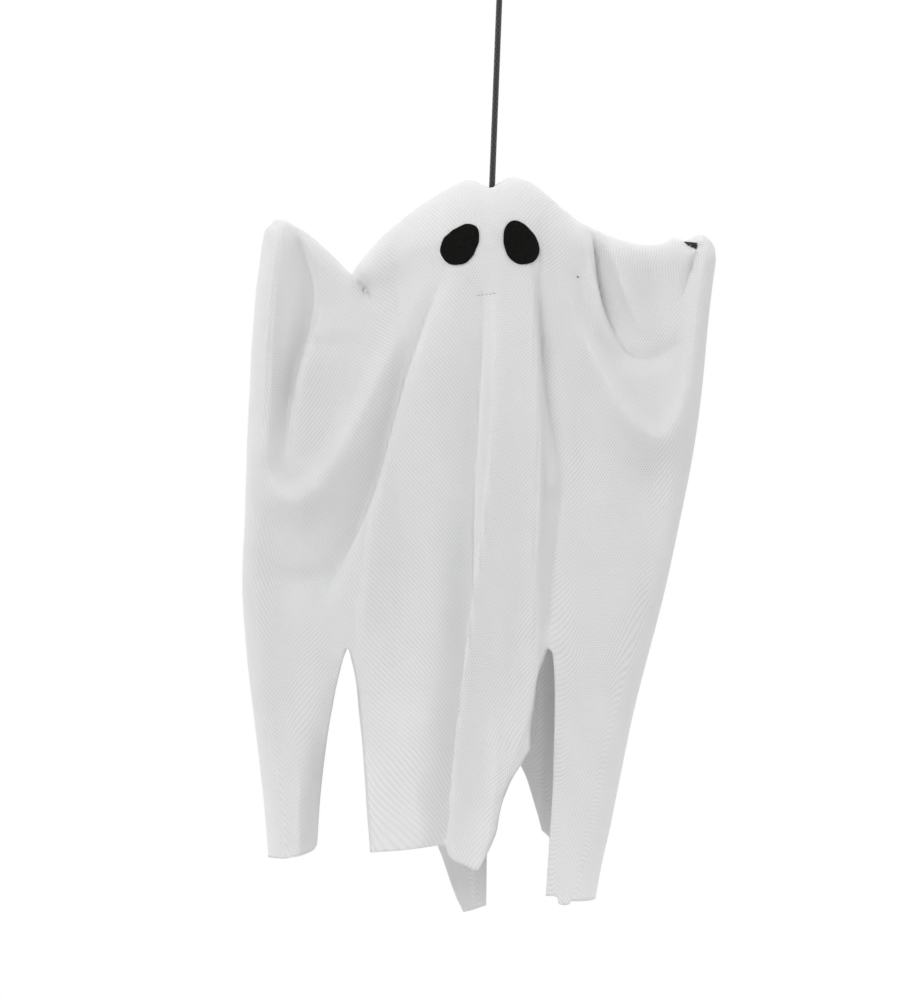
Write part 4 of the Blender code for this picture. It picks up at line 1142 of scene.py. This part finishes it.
def layerPoints(layer):
    # the layer's points, as (column, row, xyz) for each panel
    sheet = ghostSheet
    (leftTip, _), (rightTip, _) = sheet["tips"]
    firstSplit, lastSplit = sheet["splits"]
    spans = ((leftTip, firstSplit), (firstSplit, lastSplit), (lastSplit, rightTip))
    slitZ = pixelZ(sheet["slitTop"])
    panels = []
    for panel in range(3):
        inset, share, sideTurn = (values[:, None] for values in panelColumns(panel))
        topX = acrossPanel(panel, inset, share, *pixelX(spans[panel]))
        topZ = ridgeHeight(topX)
        size = roundSize(topX, sheet["armRound"])
        start = topZ - size
        across = 1 - share if panel == 2 else share
        hemZ = pixelZ(throughPoints(layer["hems"][panel], across))
        turn = math.pi / 2 * (np.arange(sheet["roundRows"] + 1) / sheet["roundRows"]) ** 1.15
        body = np.arange(1, sheet["bodyRows"] + 1) / sheet["bodyRows"]
        strip = np.arange(1, sheet["stripRows"] + 1) / sheet["stripRows"]
        z = np.concatenate([
            topZ - size * (1 - np.cos(turn)),
            start + (slitZ - start) * body,
            slitZ + (hemZ - slitZ) * strip,
        ], axis=1)
        turned = np.concatenate([np.sin(turn), np.ones(len(body) + len(strip))])[None, :]
        left, right = panelEdges(layer, panel, z)
        below = acrossPanel(panel, inset, share, left, right)
        settle = np.ones_like(share) if panel == 1 else share
        x = topX + (below - topX) * ease((topZ - z) / np.maximum(sheet["settleDrop"] * settle, 1e-6))
        top = roundSize(x, sheet["armDepth"])
        outer, centre = layer["hemDepth"]
        hem = outer + (centre - outer) * np.exp(-(((x - headPlace.x) / sheet["hemSpread"]) ** 2))
        drop = ridgeHeight(x) - roundSize(x, sheet["armRound"]) - z
        depth = top + (hem - top) * ease(drop / sheet["reachDrop"])
        settled = ease((topZ - z - sheet["waverFrom"]) / sheet["waverOver"])
        lift, leanX, leanZ = foldLift(layer["folds"], x, z)
        depth += lift * turned
        depth += gentleWaver(x, z, 7 + layer["facing"], sheet["waverLengths"], sheet["waver"]) * settled
        y = middleDepth(x, z) + layer["facing"] * depth * turned * sideTurn
        y = np.where(turned * sideTurn > 0.02, clearOfWire(x, y, z, layer["facing"]), y)
        aboveHem = (z - hemZ) / sheet["hemEase"]
        leaning = turned * sideTurn * ease(aboveHem + 0.4)
        points = np.stack([x + leanX * leaning, y, z + leanZ * leaning * ease(aboveHem)], axis=-1)
        off = points - np.array(headPlace)
        far = np.linalg.norm(off, axis=-1, keepdims=True)
        onBall = np.array(headPlace) + off * (sheet["headRadius"] / np.maximum(far, 1e-6))
        points = np.where(far < sheet["headRadius"], onBall, points)
        aside = points[..., 0] - cordTop.x
        wide = np.where(aside < 0, *sheet["tuckWidths"])
        ahead = points[..., 1] / sheet["tuckReach"]
        tuck = sheet["tuckDepth"] * np.exp(-((aside / wide) ** 2) - ahead**2)
        points[..., 2] -= np.where(points[..., 2] > headPlace.z, tuck, 0)
        panels.append(points)
    return panels


def evened(values, axis, passes):
    # each line drawn towards the two beside it, so that the knit's rows run smooth over the creases
    values = np.moveaxis(values, axis, 0)
    for _ in range(passes):
        padded = np.concatenate([2 * values[:1] - values[1:2], values, 2 * values[-1:] - values[-2:-1]])
        values = (padded[:-2] + 2 * padded[1:-1] + padded[2:]) / 4
    return np.moveaxis(values, 0, axis)


def weaveMap(panels):
    # how far each point lies along the cloth, across and down, in metres
    sheet = ghostSheet
    first = sheet["columns"][0]
    second = first + sheet["columns"][1]
    whole = np.concatenate([panels[0], panels[1][1:], panels[2][1:]])
    across = np.linalg.norm(np.diff(whole, axis=0), axis=-1)
    across = np.concatenate([np.zeros((1, whole.shape[1])), across.cumsum(0)])
    across -= across[first + sheet["columns"][1] // 2]
    down = np.linalg.norm(np.diff(whole, axis=1), axis=-1)
    down = np.concatenate([np.zeros((whole.shape[0], 1)), down.cumsum(1)], axis=1)
    across = evened(across, 1, sheet["evenAcross"])
    down = evened(down, 0, sheet["evenDown"])
    ranges = ((0, first + 1), (first, second + 1), (second, len(whole)))
    return [np.stack([across[a:b], down[a:b]], axis=-1) for a, b in ranges]


def openForCord(work):
    # the hole that the cord comes through, drawn close round it
    line = alongCord(1).normalized()
    size = ghostSheet["holeRadius"]

    def fromCord(place):
        return place - line * place.dot(line)

    crown = [vert for vert in work.verts if vert.co.z > headPlace.z]
    near = [vert for vert in crown if fromCord(vert.co).length < ghostSheet["holeCleared"] * size]
    bmesh.ops.delete(work, geom=near, context="VERTS")
    for vert in work.verts:
        away = fromCord(vert.co)
        onEdge = vert.co.z > headPlace.z and vert.is_boundary
        if onEdge and away.length < ghostSheet["holeDrawn"] * size:
            vert.co += away * (size / away.length - 1)


def makeSheet():
    sheet = ghostSheet
    work = bmesh.new()
    uvLayer = work.loops.layers.uv.new("weave")
    for layer in (frontLayer, backLayer):
        layer["folds"] = placedFolds(layer["folds"])
        panels = layerPoints(layer)
        maps = weaveMap(panels)
        for points, weave in zip(panels, maps):
            verts = [[work.verts.new(place) for place in column] for column in points]
            weave = weave * np.array((1, layer["facing"]))
            for i in range(len(verts) - 1):
                for j in range(len(verts[0]) - 1):
                    corners = ((i, j), (i, j + 1), (i + 1, j + 1), (i + 1, j))
                    face = work.faces.new([verts[a][b] for a, b in corners])
                    face.smooth = True
                    for loop, corner in zip(face.loops, corners):
                        loop[uvLayer].uv = weave[corner]
        print("sheet layer laid out")
    bmesh.ops.remove_doubles(work, verts=work.verts, dist=0.00002)
    bmesh.ops.recalc_face_normals(work, faces=work.faces)
    farthest = max(work.faces, key=lambda face: face.calc_center_median().y)
    if farthest.normal.y < 0:
        bmesh.ops.reverse_faces(work, faces=work.faces)
    openForCord(work)
    mesh = bpy.data.meshes.new("ghostSheet")
    work.to_mesh(mesh)
    work.free()
    cloth = linkMesh("ghostSheet", mesh, clothMaterial)
    applyModifier(cloth, "SOLIDIFY", thickness=sheet["thickness"], offset=0)
    return cloth


wireTree, wireDepths = wireReach()
ghostCloth = makeSheet()
print("sheet made, %d faces" % len(ghostCloth.data.polygons))


# eyes: felt ovals, cut by hand and glued on

feltEyes = {
    "length": 0.0246,
    "width": 0.0178,
    "thickness": 0.0011,
    "edge": 0.00025,
    "wobble": 0.00012,
    "sides": 72,
    "rings": 9,
    "left": {"centre": (461.2, 246.4), "turn": math.radians(40), "taper": 0.15},
    "right": {"centre": (519.2, 245.2), "turn": math.radians(-24), "taper": 0.10},
}


def makeFeltEye(name, look, eye, seed):
    deselectAll()
    bpy.ops.mesh.primitive_circle_add(vertices=look["sides"], radius=look["length"] / 2, fill_type="NGON")
    piece = takeObject(name, feltMaterial)
    enterEdit(piece)
    bpy.ops.mesh.select_all(action="SELECT")
    bpy.ops.transform.resize(value=(look["width"] / look["length"], 1, 1), center_override=(0, 0, 0))
    # narrower towards the top
    shape = bmesh.from_edit_mesh(piece.data)
    dice = random.Random(seed)
    waves = [(count, dice.uniform(0, math.tau), dice.uniform(0.4, 1)) for count in (2, 3, 5, 9)]
    for vert in shape.verts:
        around = math.atan2(vert.co.x, vert.co.y)
        vert.co.x *= 1 - eye["taper"] * math.cos(around)
        uneven = sum(size * math.sin(count * around + phase) for count, phase, size in waves)
        vert.co += vert.co.normalized() * look["wobble"] * uneven
    bmesh.update_edit_mesh(piece.data)
    bpy.ops.mesh.select_all(action="SELECT")
    for ring in range(look["rings"], 1, -1):
        bpy.ops.mesh.inset(thickness=0)
        bpy.ops.transform.resize(value=((ring - 1) / ring,) * 3, center_override=(0, 0, 0))
    bpy.ops.mesh.poke()
    leaveEdit()
    piece.rotation_euler = (math.pi / 2, 0, 0)
    settle(piece)
    piece.rotation_euler = (0, eye["turn"], 0)
    piece.location = pixelToPlace(*eye["centre"], -0.12)
    settle(piece)
    applyModifier(
        piece, "SHRINKWRAP", target=ghostCloth, wrap_method="PROJECT", wrap_mode="ABOVE_SURFACE",
        use_project_y=True, use_negative_direction=False, use_positive_direction=True, offset=0.0002,
    )
    applyModifier(piece, "SOLIDIFY", thickness=look["thickness"], offset=1)
    sharp = math.radians(50)
    applyModifier(piece, "BEVEL", width=look["edge"], segments=2, limit_method="ANGLE", angle_limit=sharp)
    smoothShade(piece, 50)
    return piece


leftEye = makeFeltEye("leftEye", feltEyes, feltEyes["left"], 3)
rightEye = makeFeltEye("rightEye", feltEyes, feltEyes["right"], 8)
print("eyes cut and laid on")


# threads: the faint line of stitches under the eyes, a dark tack on the arm and the tie at the wire's eye

threadWork = {
    "sides": 8,
    "stitchRadius": 0.00013,
    # each stitch from one pixel of the photograph to another
    "stitches": (
        ((477.2, 295.4), (479.6, 295.1)), ((481.4, 295.0), (483.4, 294.7)),
        ((485.4, 294.6), (487.6, 294.3)), ((489.6, 294.2), (492.0, 293.8)),
        ((493.2, 293.4), (495.4, 293.2)),
    ),
    "tackRadius": 0.00030,
    "tack": (((577.2, 276.4), (578.6, 277.4)),),
    "tieRadius": 0.00042,
    "tie": (
        ((684.6, 242.2), (697.4, 243.6)), ((685.4, 243.2), (697.8, 245.4)),
        ((687.0, 244.6), (697.6, 247.0)), ((690.2, 246.2), (697.0, 248.6)),
    ),
}


def onCloth(x, y, off=0.0):
    # a pixel of the photograph on the cloth, seen along the camera's line
    start = pixelToPlace(*view["centrePixel"], -view["distance"])
    direction = (pixelToPlace(x, y) - start).normalized()
    hit = clothTree.ray_cast(start, direction)[0]
    return hit - direction * off


def threadArch(start, end, radius, lift):
    # a stitch comes up through the cloth, lies along it and goes down again
    first, last = onCloth(*start, -lift), onCloth(*end, -lift)
    over = [
        onCloth(start[0] + (end[0] - start[0]) * t, start[1] + (end[1] - start[1]) * t, lift)
        for t in (0.2, 0.5, 0.8)
    ]
    return smoothLine([first] + over + [last], 5)


def joinPieces(name, pieces):
    deselectAll()
    for piece in pieces:
        piece.select_set(True)
    bpy.context.view_layer.objects.active = pieces[0]
    if len(pieces) > 1:
        bpy.ops.object.join()
    pieces[0].name = pieces[0].data.name = name
    return pieces[0]


def layThreads(name, lines, size, material):
    radius = threadWork[size]
    pieces = []
    for start, end in threadWork[lines]:
        line = threadArch(start, end, radius, radius)
        pieces.append(tubeMesh(name, line, radius, threadWork["sides"], material))
    return joinPieces(name, pieces)


clothTree = BVHTree.FromObject(ghostCloth, bpy.context.evaluated_depsgraph_get())
mouthStitches = layThreads("mouthStitches", "stitches", "stitchRadius", stitchMaterial)
darkTack = layThreads("darkTack", "tack", "tackRadius", lintMaterial)
tipTie = layThreads("tipTie", "tie", "tieRadius", lintMaterial)
print("threads sewn")


# light: plain and soft, from the upper left, over a pale floor

# strength of the world in front, behind, below and above
worldLight = {
    "front": 0.335,
    "behind": 0.95,
    "below": 0.60,
    "above": 1.40,
}

# the lamps, each with its power in watts and its spread in degrees
keyLight = {
    "place": (-0.55, -1.9, 0.6),
    "target": (0, 0, -0.03),
    "size": 1.0,
    "power": 2.45,
    "spread": 50,
}

fillLight = {
    "place": (1.4, -1.6, 0.2),
    "target": (0, 0, -0.33),
    "size": 1.4,
    "power": 3.0,
    "spread": 180,
}


def addSoftLight(name, look):
    data = bpy.data.lights.new(name, "AREA")
    data.shape = "DISK"
    data.size = look["size"]
    data.energy = look["power"]
    data.spread = math.radians(look["spread"])
    lamp = bpy.data.objects.new(name, data)
    bpy.context.scene.collection.objects.link(lamp)
    lamp.location = look["place"]
    aim = Vector(look["target"]) - Vector(look["place"])
    lamp.rotation_euler = aim.to_track_quat("-Z", "Y").to_euler()


def makeWorld(level):
    world = bpy.data.worlds.new("studio")
    bpy.context.scene.world = world
    world.use_nodes = True
    tree = world.node_tree
    soft = tree.nodes["Background"]
    soft.inputs["Color"].default_value = (1, 1, 1, 1)
    # the studio's white background wraps a little more light round the sides than comes from in front
    sky = addNode(tree, "ShaderNodeTexCoord").outputs["Generated"]
    direction = addNode(tree, "ShaderNodeSeparateXYZ", {0: sky})
    wrap = addRange(tree, direction.outputs["Y"], -0.8, 0.3, level["front"], level["behind"])
    rise = addRange(tree, direction.outputs["Z"], -0.7, 0.8, level["below"], level["above"])
    tree.links.new(addMath(tree, "MULTIPLY", wrap, rise), soft.inputs["Strength"])
    white = addNode(tree, "ShaderNodeBackground", {"Color": (1, 1, 1, 1), "Strength": 1.0})
    path = addNode(tree, "ShaderNodeLightPath")
    seen = addMath(tree, "MAXIMUM", path.outputs["Is Camera Ray"], path.outputs["Is Glossy Ray"])
    seen = addMath(tree, "MAXIMUM", seen, path.outputs["Is Transmission Ray"])
    both = addNode(tree, "ShaderNodeMixShader", {0: seen, 1: soft.outputs[0], 2: white.outputs[0]})
    tree.links.new(both.outputs[0], tree.nodes["World Output"].inputs["Surface"])


def makeFloor():
    deselectAll()
    bpy.ops.mesh.primitive_plane_add(size=8, location=(0, 0, -1.05))
    floor = bpy.context.object
    floor.name = "floor"
    floor.data.materials.append(startMaterial("paleFloor", (0.8, 0.8, 0.8), 0.9)[0])
    return floor


makeWorld(worldLight)
floor = makeFloor()
addSoftLight("keyLight", keyLight)
addSoftLight("fillLight", fillLight)
print("lights placed")


# everything rides on the one body

bpy.context.scene.view_settings.view_transform = "Standard"
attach(hangCord, "root")
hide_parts("hang_cord")
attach(stopKnot, "root")
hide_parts("stop_knot")
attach(washerPiece, "root")
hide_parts("stop_washer")
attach(sleevePiece, "root")
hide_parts("cord_ferrule")
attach(ballPiece, "root")
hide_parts("head_ball")
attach(armWirePiece, "root")
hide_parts("arm_wire")
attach(ghostCloth, "root")
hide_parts("ghost_sheet")
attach(leftEye, "root")
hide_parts("eye_left")
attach(rightEye, "root")
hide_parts("eye_right")
for thread in (mouthStitches, darkTack, tipTie):
    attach(thread, "root")
